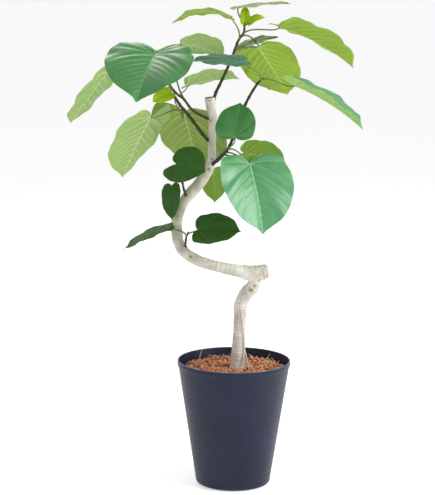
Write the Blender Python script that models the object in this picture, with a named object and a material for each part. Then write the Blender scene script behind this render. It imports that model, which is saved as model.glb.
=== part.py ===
"""A potted ficus umbellata: a spiral-trained trunk, four boughs, seven masses of heart-shaped leaves,
and a tapered pot filled with soil.

Lengths are metres and +Z is up. The origin is the centre of the pot's flat underside. The plant is
looked at from -Y, with +X to the right. Every solid keeps the gap CLEAR to its neighbours.
"""

import math
from dataclasses import dataclass

import bmesh
import bpy
import numpy as np

CLEAR = 0.0003

# Pot: a standard 24 cm nursery pot with a low rolled lip
POT_HEIGHT = 0.268
POT_RIM_RADIUS = 0.120
POT_LIP_HEIGHT = 0.012
POT_LIP_EDGE = 0.0015
POT_NECK_RADIUS = 0.117
POT_FOOT_RADIUS = 0.080
POT_FOOT_ROUND = 0.008
POT_ROUND_STEPS = 3
POT_WALL = 0.003
POT_FLOOR = 0.004
POT_SEGMENTS = 40
DRAIN_HOLES = 6
DRAIN_HOLE_RADIUS = 0.006
DRAIN_HOLE_CIRCLE = 0.050
DRAIN_HOLE_SIDES = 8

# Soil: husk chips that fill the pot to a little under its rim
SOIL_LEVEL = 0.247
SOIL_RINGS = 5
SOIL_BUMP = 0.003
SOIL_CALM_RADIUS = 0.050

# Limbs
TRUNK_SIDES = 12
BOUGH_SIDES = 8
PETIOLE_SIDES = 4
PETIOLE_STEPS = 5
PETIOLE_ROOT_RADIUS = 0.0017
PETIOLE_TIP_RADIUS = 0.0012
STEPS_PER_SPAN = 2

# Aerial root that hugs the foot of the trunk and splits above the soil
ROOT_RADIUS = 0.0024
ROOT_STEPS = 9
ROOT_TOP_ANGLE = -105.0
ROOT_FOOT_ANGLE = -35.0
ROOT_SPREAD = 0.5
ROOTLET_TOP = 0.292
ROOTLET_RADIUS = 0.0013
ROOTLET_FEET = ((0.0245, 0.002), (0.031, -0.010), (0.020, -0.017))

# Leaf blades
BLADE_THICKNESS = 0.0130
BLADE_RINGS = (0.5, 1.0)
BLADE_POINTS = 10
BLADE_WAVE = 0.020
BLADE_WAVES = 3.5
BLADE_SEED = 7
PETIOLE_SINK = 0.07

# Half the outline of a leaf, from the notch where the petiole joins round to the tip. The first
# number is along the midrib over the leaf's length, the second across it over half its breadth.
BLADE_OUTLINE = (
    (-0.015, 0.00),
    (-0.10, 0.17),
    (-0.14, 0.45),
    (-0.07, 0.78),
    (0.12, 0.98),
    (0.38, 1.00),
    (0.62, 0.85),
    (0.80, 0.57),
    (0.92, 0.26),
    (0.97, 0.08),
    (1.00, 0.00),
)

# Centre lines, each station as x, y, z and the limb's radius there
FOOT_LINE = (
    (0.0065, 0.000, SOIL_LEVEL + CLEAR, 0.0160),
    (0.0080, 0.000, 0.264, 0.0144),
    (0.0090, 0.000, 0.290, 0.0138),
    (0.0110, 0.000, 0.321, 0.0132),
    (0.0120, 0.000, 0.354, 0.0130),
    (0.0130, -0.002, 0.382, 0.0138),
    (0.0180, -0.005, 0.400, 0.0140),
    (0.0260, -0.010, 0.415, 0.0138),
    (0.0390, -0.020, 0.432, 0.0138),
    (0.0460, -0.035, 0.459, 0.0138),
)
TRUNK_LINE = (
    (0.065, -0.034, 0.466, 0.0148),
    (0.048, -0.038, 0.462, 0.0165),
    (0.032, -0.043, 0.463, 0.0160),
    (0.017, -0.046, 0.466, 0.0140),
    (0.009, -0.048, 0.468, 0.0132),
    (-0.021, -0.054, 0.475, 0.0116),
    (-0.041, -0.057, 0.480, 0.0110),
    (-0.066, -0.058, 0.487, 0.0112),
    (-0.091, -0.055, 0.498, 0.0114),
    (-0.109, -0.048, 0.512, 0.0114),
    (-0.119, -0.038, 0.530, 0.0116),
    (-0.122, -0.026, 0.551, 0.0115),
    (-0.122, -0.016, 0.570, 0.0112),
    (-0.116, -0.004, 0.588, 0.0104),
    (-0.108, 0.008, 0.605, 0.0110),
    (-0.095, 0.017, 0.621, 0.0120),
    (-0.079, 0.024, 0.638, 0.0120),
    (-0.065, 0.028, 0.657, 0.0114),
    (-0.056, 0.029, 0.674, 0.0108),
    (-0.050, 0.027, 0.695, 0.0086),
    (-0.050, 0.021, 0.738, 0.0083),
    (-0.049, 0.015, 0.777, 0.0095),
    (-0.053, 0.010, 0.804, 0.0096),
    (-0.055, 0.008, 0.824, 0.0106),
)
# Where the trunk is split at its bends, as stations of TRUNK_LINE
TRUNK_PIECES = (("trunk_arm", 0, 8), ("trunk_bend", 8, 13), ("trunk_rise", 13, 18), ("trunk_top", 18, 23))


@dataclass(frozen=True)
class Finish:
    """A surface: its colour, how rough it is and whether it is metal."""

    name: str
    colour: tuple
    roughness: float
    metallic: float = 0.0


@dataclass(frozen=True)
class Leaf:
    """One leaf. Its petiole leaves the shoot at a share of the shoot's length and ends at the base
    of the blade. Heading, dip and roll are degrees: heading turns from +X towards +Y, dip lowers
    the tip below the base, and roll lifts the left half. Fold lifts both halves at the midrib, cup
    turns their edges down again, and arch bends the midrib. Breadth is width over length, and
    lobes stretches the part behind the petiole.
    """

    at: float
    base: tuple
    length: float
    heading: float
    dip: float
    roll: float = 0.0
    breadth: float = 0.95
    fold: float = 20.0
    cup: float = 30.0
    arch: float = 25.0
    lobes: float = 1.0


@dataclass(frozen=True)
class Shoot:
    """A limb that leaves the trunk. Up to the station named by bare it is a bough, and from there
    it is the stem of a mass of leaves. A shoot with bare 0 has leaves from the trunk on.
    """

    name: str
    line: tuple
    bare: int
    leaves: tuple


PLASTIC = Finish("dark_blue_plastic", (0.030, 0.038, 0.060), 0.42)
HUSK = Finish("coconut_husk", (0.300, 0.120, 0.060), 0.90)
BARK = Finish("pale_bark", (0.720, 0.690, 0.610), 0.72)
STEM = Finish("brown_stem", (0.130, 0.110, 0.060), 0.60)
LEAF = Finish("green_leaf", (0.110, 0.320, 0.080), 0.42)

SHOOTS = (
    Shoot(
        name="leader",
        line=(
            (-0.050, 0.010, 0.806, 0.0034),
            (-0.043, 0.014, 0.832, 0.0033),
            (-0.034, 0.018, 0.851, 0.0031),
            (-0.020, 0.022, 0.881, 0.0030),
            (-0.007, 0.026, 0.913, 0.0028),
            (0.003, 0.030, 0.940, 0.0026),
            (0.014, 0.032, 0.957, 0.0022),
            (0.017, 0.032, 0.975, 0.0016),
        ),
        bare=3,
        leaves=(
            Leaf(0.60, (0.045, 0.055, 0.927), 0.150, 50, 46, roll=-15, breadth=0.90, fold=3, cup=8, arch=8, lobes=0.4),
            Leaf(0.66, (0.009, 0.070, 0.921), 0.085, 5, -17, roll=10, breadth=0.70, fold=12, cup=10),
            Leaf(0.75, (-0.013, 0.010, 0.989), 0.130, 175, 7, roll=10, breadth=0.70, fold=4, cup=8, arch=70, lobes=0.3),
            Leaf(0.85, (0.090, 0.030, 0.968), 0.190, 17, 27, roll=-9, breadth=0.74, fold=20, cup=15, lobes=0.4),
            Leaf(0.93, (0.003, 0.045, 1.008), 0.112, 5, -5, fold=5, cup=10, arch=12),
            Leaf(1.00, (0.017, 0.032, 0.978), 0.036, 90, -80, breadth=0.60, fold=30),
            Leaf(0.97, (0.026, 0.026, 0.978), 0.038, 10, -15, roll=30, breadth=0.65, arch=90),
            Leaf(0.50, (0.066, 0.130, 0.893), 0.105, 84, 42, roll=-6, fold=14),
        ),
    ),
    Shoot(
        name="right",
        line=(
            (-0.056, 0.028, 0.676, 0.0036),
            (-0.033, 0.008, 0.698, 0.0035),
            (-0.016, -0.008, 0.719, 0.0033),
            (0.000, -0.020, 0.760, 0.0031),
            (0.019, -0.028, 0.814, 0.0029),
            (0.041, -0.034, 0.854, 0.0026),
            (0.054, -0.036, 0.867, 0.0018),
        ),
        bare=1,
        leaves=(
            Leaf(0.30, (-0.003, -0.060, 0.750), 0.074, 68, -65, breadth=1.18, fold=18, lobes=0.7),
            Leaf(0.27, (0.028, -0.070, 0.695), 0.155, -68, 62, breadth=1.00, fold=12, cup=24, lobes=0.8),
            Leaf(0.32, (0.018, 0.030, 0.705), 0.092, 10, 12, roll=-45, breadth=0.90, fold=15, cup=15),
            Leaf(0.98, (0.119, -0.030, 0.853), 0.170, -16, 30, roll=-6, breadth=0.82, fold=20, cup=12, arch=20),
            Leaf(0.94, (0.012, -0.050, 0.904), 0.106, -172, 0, roll=-10, fold=4, cup=8, arch=12),
            Leaf(0.22, (0.032, 0.060, 0.668), 0.130, 74, 52, roll=8, fold=14),
        ),
    ),
    Shoot(
        name="left_upper",
        line=(
            (-0.050, 0.013, 0.776, 0.0030),
            (-0.069, 0.004, 0.785, 0.0029),
            (-0.092, -0.005, 0.800, 0.0027),
            (-0.108, -0.012, 0.821, 0.0025),
            (-0.123, -0.018, 0.833, 0.0022),
            (-0.134, -0.022, 0.843, 0.0016),
        ),
        bare=2,
        leaves=(
            Leaf(0.97, (-0.167, -0.075, 0.915), 0.163, -103, 31, roll=-6, breadth=1.08, fold=13, cup=22, lobes=1.8),
            Leaf(0.62, (-0.118, 0.060, 0.931), 0.112, 30, 15, roll=-22, fold=14, cup=15, lobes=0.5),
            Leaf(0.58, (-0.102, 0.085, 0.842), 0.114, 10, -7, roll=-21, breadth=0.90, fold=18, cup=15, lobes=0.6),
            Leaf(0.78, (-0.168, 0.080, 0.915), 0.125, 98, 30, roll=-5, fold=15),
        ),
    ),
    Shoot(
        name="left_lower",
        line=(
            (-0.050, 0.022, 0.726, 0.0036),
            (-0.067, 0.018, 0.743, 0.0035),
            (-0.096, 0.014, 0.782, 0.0033),
            (-0.117, 0.010, 0.808, 0.0030),
            (-0.127, 0.008, 0.823, 0.0028),
            (-0.138, 0.006, 0.835, 0.0020),
        ),
        bare=2,
        leaves=(
            Leaf(0.95, (-0.268, 0.050, 0.875), 0.170, 137, 46, roll=-15, breadth=0.75, fold=3, cup=8, arch=5),
            Leaf(0.50, (-0.178, 0.030, 0.779), 0.172, 129, 53, roll=-9, breadth=0.85, fold=12, cup=12, arch=10),
            Leaf(0.72, (-0.110, 0.085, 0.782), 0.151, 66, 60, roll=12, breadth=1.25, fold=6, cup=12, arch=10, lobes=1.1),
            Leaf(1.00, (-0.136, 0.000, 0.834), 0.045, -160, 25, roll=-50, breadth=0.75),
            Leaf(0.52, (-0.100, 0.160, 0.752), 0.135, 92, 46, roll=4, fold=14),
        ),
    ),
    Shoot(
        name="back_low",
        line=(
            (-0.056, 0.029, 0.676, 0.0026),
            (-0.054, 0.048, 0.684, 0.0025),
            (-0.050, 0.062, 0.700, 0.0018),
        ),
        bare=0,
        leaves=(
            Leaf(0.90, (-0.048, 0.075, 0.662), 0.080, 82, 67, breadth=0.75),
        ),
    ),
    Shoot(
        name="low",
        line=(
            (-0.103, 0.014, 0.612, 0.0026),
            (-0.105, -0.003, 0.624, 0.0025),
            (-0.108, -0.008, 0.634, 0.0023),
            (-0.112, -0.012, 0.651, 0.0021),
            (-0.120, -0.014, 0.664, 0.0014),
        ),
        bare=0,
        leaves=(
            Leaf(1.00, (-0.122, -0.018, 0.687), 0.075, -35, 8, roll=50, breadth=1.20, fold=12, cup=12, lobes=2.2),
            Leaf(0.75, (-0.133, -0.015, 0.641), 0.072, -85, 72, roll=25, breadth=0.58, fold=12, cup=15, lobes=0.6),
        ),
    ),
    Shoot(
        name="lowest",
        line=(
            (-0.103, -0.048, 0.507, 0.0024),
            (-0.103, -0.056, 0.524, 0.0023),
            (-0.101, -0.060, 0.541, 0.0020),
            (-0.097, -0.062, 0.552, 0.0012),
        ),
        bare=0,
        leaves=(
            Leaf(0.80, (-0.077, -0.070, 0.558), 0.092, -13, 0, roll=40, breadth=0.90, fold=10, cup=15, lobes=0.7),
            Leaf(0.72, (-0.141, -0.065, 0.563), 0.105, -174, 28, roll=-3, breadth=0.75, fold=0, cup=5, arch=30),
        ),
    ),
)


def clear_scene():
    """Remove every object, so the model starts from an empty scene."""
    for thing in list(bpy.data.objects):
        bpy.data.objects.remove(thing)


def material(finish):
    """Return the finish as a Principled BSDF material, made once."""
    made = bpy.data.materials.get(finish.name)
    if made is None:
        made = bpy.data.materials.new(finish.name)
        made.use_nodes = True
        shader = made.node_tree.nodes["Principled BSDF"]
        shader.inputs["Base Color"].default_value = (*finish.colour, 1.0)
        shader.inputs["Roughness"].default_value = finish.roughness
        shader.inputs["Metallic"].default_value = finish.metallic
        made.diffuse_color = (*finish.colour, 1.0)
    return made


def add_object(name, points, faces, finish):
    """Make an object from points and faces, with its normals outward, smooth but for sharp edges."""
    mesh = bpy.data.meshes.new(name)
    mesh.from_pydata([tuple(float(c) for c in point) for point in points], [], faces)
    surface = bmesh.new()
    surface.from_mesh(mesh)
    bmesh.ops.recalc_face_normals(surface, faces=surface.faces)
    surface.to_mesh(mesh)
    surface.free()
    mesh.materials.append(material(finish))
    mesh.shade_smooth()
    mesh.set_sharp_from_angle(angle=math.radians(40.0))
    thing = bpy.data.objects.new(name, mesh)
    bpy.context.scene.collection.objects.link(thing)
    return thing


def apply_modifiers(thing):
    """Replace the object's mesh with the mesh that its modifiers make."""
    bpy.context.view_layer.update()
    graph = bpy.context.evaluated_depsgraph_get()
    made = bpy.data.meshes.new_from_object(thing.evaluated_get(graph), depsgraph=graph)
    made.name = thing.name
    thing.modifiers.clear()
    thing.data = made


def combine(thing, others, operation):
    """Join the other closed solids to the object, or cut them from it, and remove them."""
    tools = bpy.data.collections.new(thing.name + "_tools")
    bpy.context.scene.collection.children.link(tools)
    for other in others:
        bpy.context.scene.collection.objects.unlink(other)
        tools.objects.link(other)
    boolean = thing.modifiers.new("Combine", "BOOLEAN")
    boolean.operation = operation
    boolean.operand_type = "COLLECTION"
    boolean.collection = tools
    boolean.solver = "EXACT"
    boolean.material_mode = "TRANSFER"
    apply_modifiers(thing)
    for other in others:
        bpy.data.objects.remove(other)
    bpy.data.collections.remove(tools)


def keep_largest_shell(thing):
    """Drop the loose scraps and sealed hollows that a union leaves: all shells but the largest."""
    surface = bmesh.new()
    surface.from_mesh(thing.data)
    waiting = set(surface.verts)
    shells = []
    while waiting:
        shell, edge = set(), [waiting.pop()]
        while edge:
            vertex = edge.pop()
            shell.add(vertex)
            near = {link.other_vert(vertex) for link in vertex.link_edges} & waiting
            waiting -= near
            edge.extend(near)
        shells.append(shell)
    shells.sort(key=len)
    scraps = [vertex for shell in shells[:-1] for vertex in shell]
    bmesh.ops.delete(surface, geom=scraps, context="VERTS")
    surface.to_mesh(thing.data)
    surface.free()


def turned(name, profile, segments, finish):
    """Turn a profile of (radius, height) points about Z. It starts and ends on the axis."""
    angles = np.linspace(0.0, 2.0 * math.pi, segments, endpoint=False)
    points = [(0.0, 0.0, profile[0][1])]
    for radius, height in profile[1:-1]:
        points += [(radius * math.cos(a), radius * math.sin(a), height) for a in angles]
    points.append((0.0, 0.0, profile[-1][1]))
    faces = []
    for k in range(segments):
        following = (k + 1) % segments
        faces.append((0, 1 + following, 1 + k))
        for ring in range(len(profile) - 3):
            low = 1 + ring * segments
            high = low + segments
            faces.append((low + k, low + following, high + following, high + k))
        last = 1 + (len(profile) - 3) * segments
        faces.append((last + k, last + following, len(points) - 1))
    return add_object(name, points, faces, finish)


def inner_radius(height):
    """Radius of the pot's inside at a height."""
    slope = (POT_NECK_RADIUS - POT_FOOT_RADIUS) / (POT_HEIGHT - POT_LIP_HEIGHT - POT_FOOT_ROUND)
    return POT_FOOT_RADIUS + slope * (height - POT_FOOT_ROUND) - POT_WALL


def make_pot():
    """The pot: a tapered shell with a rounded foot, a rolled lip and drain holes in its floor."""
    profile = [(0.0, 0.0)]
    for k in range(POT_ROUND_STEPS + 1):
        turn = 0.5 * math.pi * k / POT_ROUND_STEPS
        radius = POT_FOOT_RADIUS - POT_FOOT_ROUND * (1.0 - math.sin(turn))
        profile.append((radius, POT_FOOT_ROUND * (1.0 - math.cos(turn))))
    lip_foot = POT_HEIGHT - POT_LIP_HEIGHT
    profile += [
        (POT_NECK_RADIUS, lip_foot),
        (POT_RIM_RADIUS, lip_foot + POT_LIP_EDGE),
        (POT_RIM_RADIUS, POT_HEIGHT - POT_LIP_EDGE),
        (POT_RIM_RADIUS - POT_LIP_EDGE, POT_HEIGHT),
        (inner_radius(POT_HEIGHT) + POT_LIP_EDGE, POT_HEIGHT),
        (inner_radius(POT_HEIGHT), POT_HEIGHT - POT_LIP_EDGE),
        (inner_radius(POT_FLOOR), POT_FLOOR),
        (0.0, POT_FLOOR),
    ]
    pot = turned("pot", profile, POT_SEGMENTS, PLASTIC)
    drills = []
    for k in range(DRAIN_HOLES):
        angle = 2.0 * math.pi * k / DRAIN_HOLES
        x, y = DRAIN_HOLE_CIRCLE * math.cos(angle), DRAIN_HOLE_CIRCLE * math.sin(angle)
        line = [(x, y, -POT_FLOOR, DRAIN_HOLE_RADIUS), (x, y, 2.0 * POT_FLOOR, DRAIN_HOLE_RADIUS)]
        drills.append(limb("drill", limb_rings(line, DRAIN_HOLE_SIDES, 1), PLASTIC))
    combine(pot, drills, "DIFFERENCE")
    return pot


def make_soil():
    """The soil: it fills the pot, calm round the trunk and lumpy towards the wall."""
    chance = np.random.default_rng(BLADE_SEED)
    floor = POT_FLOOR + CLEAR
    profile = [
        (0.0, floor),
        (inner_radius(floor) - CLEAR, floor),
        (inner_radius(SOIL_LEVEL) - CLEAR, SOIL_LEVEL),
    ]
    rim = inner_radius(SOIL_LEVEL)
    profile += [(rim * (1.0 - k / SOIL_RINGS), SOIL_LEVEL) for k in range(1, SOIL_RINGS + 1)]
    soil = turned("soil", profile, POT_SEGMENTS, HUSK)
    for vertex in soil.data.vertices:
        reach = math.hypot(vertex.co.x, vertex.co.y)
        if vertex.co.z > floor + CLEAR and SOIL_CALM_RADIUS < reach < rim - 2.0 * CLEAR:
            vertex.co.z += SOIL_BUMP * chance.uniform(-1.0, 1.0)
    return soil


def smooth_line(stations, steps):
    """A smooth line through the stations, with so many steps in each span (Catmull-Rom)."""
    knots = np.array(stations, dtype=float)
    knots = np.vstack([2.0 * knots[0] - knots[1], knots, 2.0 * knots[-1] - knots[-2]])
    line = []
    for before, start, end, after in zip(knots, knots[1:], knots[2:], knots[3:]):
        for t in np.arange(steps) / steps:
            line.append(
                0.5
                * (
                    2.0 * start
                    + (end - before) * t
                    + (2.0 * before - 5.0 * start + 4.0 * end - after) * t**2
                    + (3.0 * start - before - 3.0 * end + after) * t**3
                )
            )
    line.append(knots[-2])
    return np.array(line)


def limb_rings(stations, sides, steps=STEPS_PER_SPAN, grow=0.0):
    """Rings of points round the smooth line through (x, y, z, radius) stations."""
    line = smooth_line(stations, steps)
    centres, radii = line[:, :3], line[:, 3] + grow
    along = np.gradient(centres, axis=0)
    along /= np.linalg.norm(along, axis=1, keepdims=True)
    side = np.cross(along[0], (0.0, 1.0, 0.0) if abs(along[0][1]) < 0.9 else (1.0, 0.0, 0.0))
    angles = np.linspace(0.0, 2.0 * math.pi, sides, endpoint=False)
    rings = []
    for centre, direction, radius in zip(centres, along, radii):
        side = side - direction * np.dot(side, direction)
        side /= np.linalg.norm(side)
        other = np.cross(direction, side)
        rings.append(centre + radius * (np.outer(np.cos(angles), side) + np.outer(np.sin(angles), other)))
    return np.array(rings)


def limb(name, rings, finish):
    """A closed solid through the rings, with a flat face at each end."""
    count, sides = len(rings), len(rings[0])
    faces = [tuple(range(sides)), tuple(range((count - 1) * sides, count * sides))]
    for ring in range(count - 1):
        for k in range(sides):
            following = (k + 1) % sides
            low, high = ring * sides, (ring + 1) * sides
            faces.append((low + k, low + following, high + following, high + k))
    return add_object(name, rings.reshape(-1, 3), faces, finish)


def pull_back(rings, first, last):
    """The rings from first to last, each open end drawn in by half the gap between two pieces."""
    piece = rings[first : last + 1].copy()
    if first > 0:
        towards = piece[1].mean(axis=0) - piece[0].mean(axis=0)
        piece[0] += towards / np.linalg.norm(towards) * 0.5 * CLEAR
    if last < len(rings) - 1:
        towards = piece[-2].mean(axis=0) - piece[-1].mean(axis=0)
        piece[-1] += towards / np.linalg.norm(towards) * 0.5 * CLEAR
    return piece


def trunk_cutter():
    """The trunk from elbow to tip, larger by the gap, to cut what grows out of it."""
    rings = limb_rings(TRUNK_LINE, TRUNK_SIDES, grow=CLEAR)
    for end, inner in ((0, 1), (-1, -2)):
        outward = rings[end].mean(axis=0) - rings[inner].mean(axis=0)
        rings[end] += CLEAR * outward / np.linalg.norm(outward)
    return limb("trunk_cutter", rings, BARK)


def make_aerial_root():
    """The strands of the aerial root: one down the front of the foot, then rootlets to the soil."""
    line = smooth_line(FOOT_LINE[:7], ROOT_STEPS)
    line = line[line[:, 2] >= ROOTLET_TOP][::ROOT_STEPS]
    strand = []
    for share, (x, y, z, radius) in zip(np.linspace(1.0, 0.0, len(line)), line):
        angle = math.radians(ROOT_TOP_ANGLE + (ROOT_FOOT_ANGLE - ROOT_TOP_ANGLE) * share)
        reach = radius + ROOT_SPREAD * ROOT_RADIUS * share
        thickness = ROOT_RADIUS * (0.45 + 0.55 * share)
        strand.append((x + reach * math.cos(angle), y + reach * math.sin(angle), z, thickness))
    solids = [limb("root_strand", limb_rings(strand, PETIOLE_SIDES, 1), BARK)]
    top = strand[0]
    ground = SOIL_LEVEL + CLEAR
    for foot_x, foot_y in ROOTLET_FEET:
        middle = 0.5 * (top[2] + ground)
        bend_x, bend_y = 0.35 * top[0] + 0.65 * foot_x, 0.35 * top[1] + 0.65 * foot_y
        line = [
            (top[0], top[1], top[2] + ROOT_RADIUS, ROOTLET_RADIUS),
            (bend_x, bend_y, middle, ROOTLET_RADIUS),
            (foot_x, foot_y, ground + 0.25 * (middle - ground), ROOTLET_RADIUS),
            (foot_x, foot_y, ground, ROOTLET_RADIUS),
        ]
        rings = limb_rings(line, PETIOLE_SIDES, 1)
        rings[-1, :, 2] = ground
        solids.append(limb("rootlet", rings, BARK))
    return solids


def make_trunk():
    """The trunk: its foot with the aerial root, then the arm and bends above the elbow."""
    foot_rings = limb_rings(FOOT_LINE, TRUNK_SIDES)
    foot_rings[0, :, 2] = SOIL_LEVEL + CLEAR
    foot = limb("trunk_foot", foot_rings, BARK)
    combine(foot, make_aerial_root(), "UNION")
    combine(foot, [trunk_cutter()], "DIFFERENCE")
    rings = limb_rings(TRUNK_LINE, TRUNK_SIDES)
    for name, first, last in TRUNK_PIECES:
        limb(name, pull_back(rings, first * STEPS_PER_SPAN, last * STEPS_PER_SPAN), BARK)


def blade_axes(leaf):
    """Unit vectors of a blade: along its chord from base to tip, to its left, and its upper side."""
    heading, dip, roll = (math.radians(a) for a in (leaf.heading, leaf.dip, leaf.roll))
    along = np.array((math.cos(dip) * math.cos(heading), math.cos(dip) * math.sin(heading), -math.sin(dip)))
    level = np.array((-math.sin(heading), math.cos(heading), 0.0))
    upright = np.cross(along, level)
    left = math.cos(roll) * level + math.sin(roll) * upright
    return along, left, np.cross(along, left)


def blade_surface(leaf, u, v, lift=0.0):
    """Points of the blade's middle surface, for u along the midrib and v across it in metres.

    The midrib is an arc, each half starts at the fold and turns down by the cup, and lift raises
    points off the surface.
    """
    along, left, up = blade_axes(leaf)
    half = 0.5 * leaf.breadth * leaf.length
    fold, cup = math.radians(leaf.fold), math.radians(max(leaf.cup, 1.0))
    share = np.abs(v) / half
    across = np.sign(v) * half / cup * (math.sin(fold) - np.sin(fold - cup * share))
    height = half / cup * (np.cos(fold - cup * share) - math.cos(fold)) + lift
    arch = math.radians(max(leaf.arch, 1.0))
    bend = arch / leaf.length
    turn = bend * u - 0.5 * arch
    forward = (np.sin(turn) + math.sin(0.5 * arch)) / bend + height * np.sin(turn)
    rise = (np.cos(turn) - math.cos(0.5 * arch)) / bend + height * np.cos(turn)
    return np.array(leaf.base) + np.outer(forward, along) + np.outer(across, left) + np.outer(rise, up)


def blade_outline(leaf):
    """The blade's outline as (u, v) points, from the notch round the left half to the tip and back."""
    half = smooth_line(BLADE_OUTLINE, 8)
    run = np.concatenate([[0.0], np.cumsum(np.linalg.norm(np.diff(half, axis=0), axis=1))])
    even = np.linspace(0.0, run[-1], BLADE_POINTS + 1)
    u = np.interp(even, run, half[:, 0]) * leaf.length
    u = np.where(u < 0.0, leaf.lobes * u, u)
    v = np.interp(even, run, half[:, 1]) * 0.5 * leaf.breadth * leaf.length
    return np.column_stack([np.concatenate([u, u[-2:0:-1]]), np.concatenate([v, -v[-2:0:-1]])])


def make_blade(leaf, phase):
    """A blade as a thin closed shell: rings round the end of the petiole, out to a wavy edge."""
    outline = blade_outline(leaf)
    count = len(outline)
    wave = np.sin(BLADE_WAVES * 4.0 * math.pi * np.arange(count) / count + phase)
    points = [blade_surface(leaf, np.zeros(1), np.zeros(1))]
    for share in BLADE_RINGS:
        lift = BLADE_WAVE * leaf.length * share**2 * wave
        points.append(blade_surface(leaf, share * outline[:, 0], share * outline[:, 1], lift))
    faces = [(0, 1 + (k + 1) % count, 1 + k) for k in range(count)]
    for ring in range(len(BLADE_RINGS) - 1):
        low, high = 1 + ring * count, 1 + (ring + 1) * count
        for k in range(count):
            following = (k + 1) % count
            faces.append((low + k, low + following, high + following, high + k))
    blade = add_object("blade", np.vstack(points), faces, LEAF)
    shell = blade.modifiers.new("Thickness", "SOLIDIFY")
    shell.thickness = BLADE_THICKNESS * leaf.length
    shell.offset = 0.0
    return blade


def petiole_line(leaf, start, shoot_direction):
    """Stations of the petiole, from inside its shoot to a little way inside the blade."""
    along, _, up = blade_axes(leaf)
    end = np.array(leaf.base)
    span = np.linalg.norm(end - start)
    leave = shoot_direction + (end - start) / span
    leave /= np.linalg.norm(leave)
    near_start = start + 0.35 * span * leave
    near_end = end - 0.30 * span * (0.5 * along + 0.8 * up)
    stations = []
    for t in np.linspace(0.0, 1.0, PETIOLE_STEPS + 1):
        point = (
            (1.0 - t) ** 3 * start
            + 3.0 * (1.0 - t) ** 2 * t * near_start
            + 3.0 * (1.0 - t) * t**2 * near_end
            + t**3 * end
        )
        radius = PETIOLE_ROOT_RADIUS + (PETIOLE_TIP_RADIUS - PETIOLE_ROOT_RADIUS) * t
        stations.append((*point, radius))
    inside = blade_surface(leaf, np.array([PETIOLE_SINK * leaf.length]), np.zeros(1))[0]
    stations.append((*inside, PETIOLE_TIP_RADIUS))
    return stations


def make_leaves(shoot, chance):
    """Every petiole and blade of a shoot, as loose closed solids."""
    line = smooth_line(shoot.line, 8)
    solids = []
    for leaf in shoot.leaves:
        place = leaf.at * (len(line) - 1)
        start = np.array([np.interp(place, np.arange(len(line)), line[:, k]) for k in range(3)])
        index = min(int(place), len(line) - 2)
        direction = line[index + 1, :3] - line[index, :3]
        stations = petiole_line(leaf, start, direction / np.linalg.norm(direction))
        solids.append(limb("petiole", limb_rings(stations, PETIOLE_SIDES, 1), STEM))
        solids.append(make_blade(leaf, chance.uniform(0.0, 2.0 * math.pi)))
    return solids


def make_shoot(shoot, chance):
    """A shoot: its bare bough, where it has one, and the mass of its stem, petioles and blades."""
    rings = limb_rings(shoot.line, BOUGH_SIDES)
    split = shoot.bare * STEPS_PER_SPAN
    if shoot.bare:
        bough = limb(shoot.name + "_bough", pull_back(rings, 0, split), STEM)
        combine(bough, [trunk_cutter()], "DIFFERENCE")
    mass = limb(shoot.name + "_leaves", pull_back(rings, split, len(rings) - 1), STEM)
    combine(mass, make_leaves(shoot, chance), "UNION")
    keep_largest_shell(mass)
    if not shoot.bare:
        combine(mass, [trunk_cutter()], "DIFFERENCE")


def main():
    """Build the pot, the soil and the plant from the ground up."""
    clear_scene()
    make_pot()
    make_soil()
    make_trunk()
    chance = np.random.default_rng(BLADE_SEED)
    for shoot in SHOOTS:
        make_shoot(shoot, chance)


main()
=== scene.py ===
"""Looks of a potted ficus umbellata: bark, leaves with veins, husk-covered soil and a nursery pot.

Lengths are metres and +Z is up. The plant is looked at from -Y, with +X to the right.
"""

import logging
import math
from dataclasses import dataclass, field
from enum import Enum
from typing import Sequence

import bmesh
import bpy
import numpy as np
from mathutils import Matrix

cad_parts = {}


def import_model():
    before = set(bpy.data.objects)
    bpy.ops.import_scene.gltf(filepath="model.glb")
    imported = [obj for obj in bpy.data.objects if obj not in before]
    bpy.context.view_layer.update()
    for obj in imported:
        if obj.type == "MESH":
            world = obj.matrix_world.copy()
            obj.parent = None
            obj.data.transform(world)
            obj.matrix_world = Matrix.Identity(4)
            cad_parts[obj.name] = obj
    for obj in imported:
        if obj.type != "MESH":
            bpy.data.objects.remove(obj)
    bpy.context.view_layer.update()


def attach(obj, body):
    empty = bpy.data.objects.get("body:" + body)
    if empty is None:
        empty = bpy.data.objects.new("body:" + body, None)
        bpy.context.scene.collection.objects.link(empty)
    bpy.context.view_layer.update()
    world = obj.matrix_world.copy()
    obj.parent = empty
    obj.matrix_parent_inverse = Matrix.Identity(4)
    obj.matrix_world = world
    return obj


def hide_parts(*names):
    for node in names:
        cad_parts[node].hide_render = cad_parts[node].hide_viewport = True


log = logging.getLogger("ficus")

Colour = tuple[float, float, float]
Station = tuple[float, float, float, float]

BODY = "root"
SOIL_LEVEL = 0.247
SEED = 7
FULL_TURN = 2.0 * math.pi
MIRROR_SIDES = (1.0, -1.0)
WHITE = (1.0, 1.0, 1.0, 1.0)

# A phase is drawn from nothing to here, in radians
ANY_PHASE = 6.3

# Lengths and squares below these count as nothing, degrees below this as straight
TINY = 1e-6
TINY_SQUARE = 1e-12
LEAST_BEND = 1.0

# A unit vector with more than this share along Y runs nearly along it
NEARLY_ALONG = 0.9

# Edges sharper than this many degrees stay sharp, unless a piece says otherwise
SMOOTH_ANGLE = 50.0

# Material numbers on the trunk, the pot and the stems
BARK_FACE, CUT_FACE, SCAR_FACE = range(3)
# On the pot, the rim's faces take the painted highlight
WALL_FACE, RIM_HIGHLIGHT_FACE = range(2)
STEM_FACE, PETIOLE_FACE = range(2)

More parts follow.
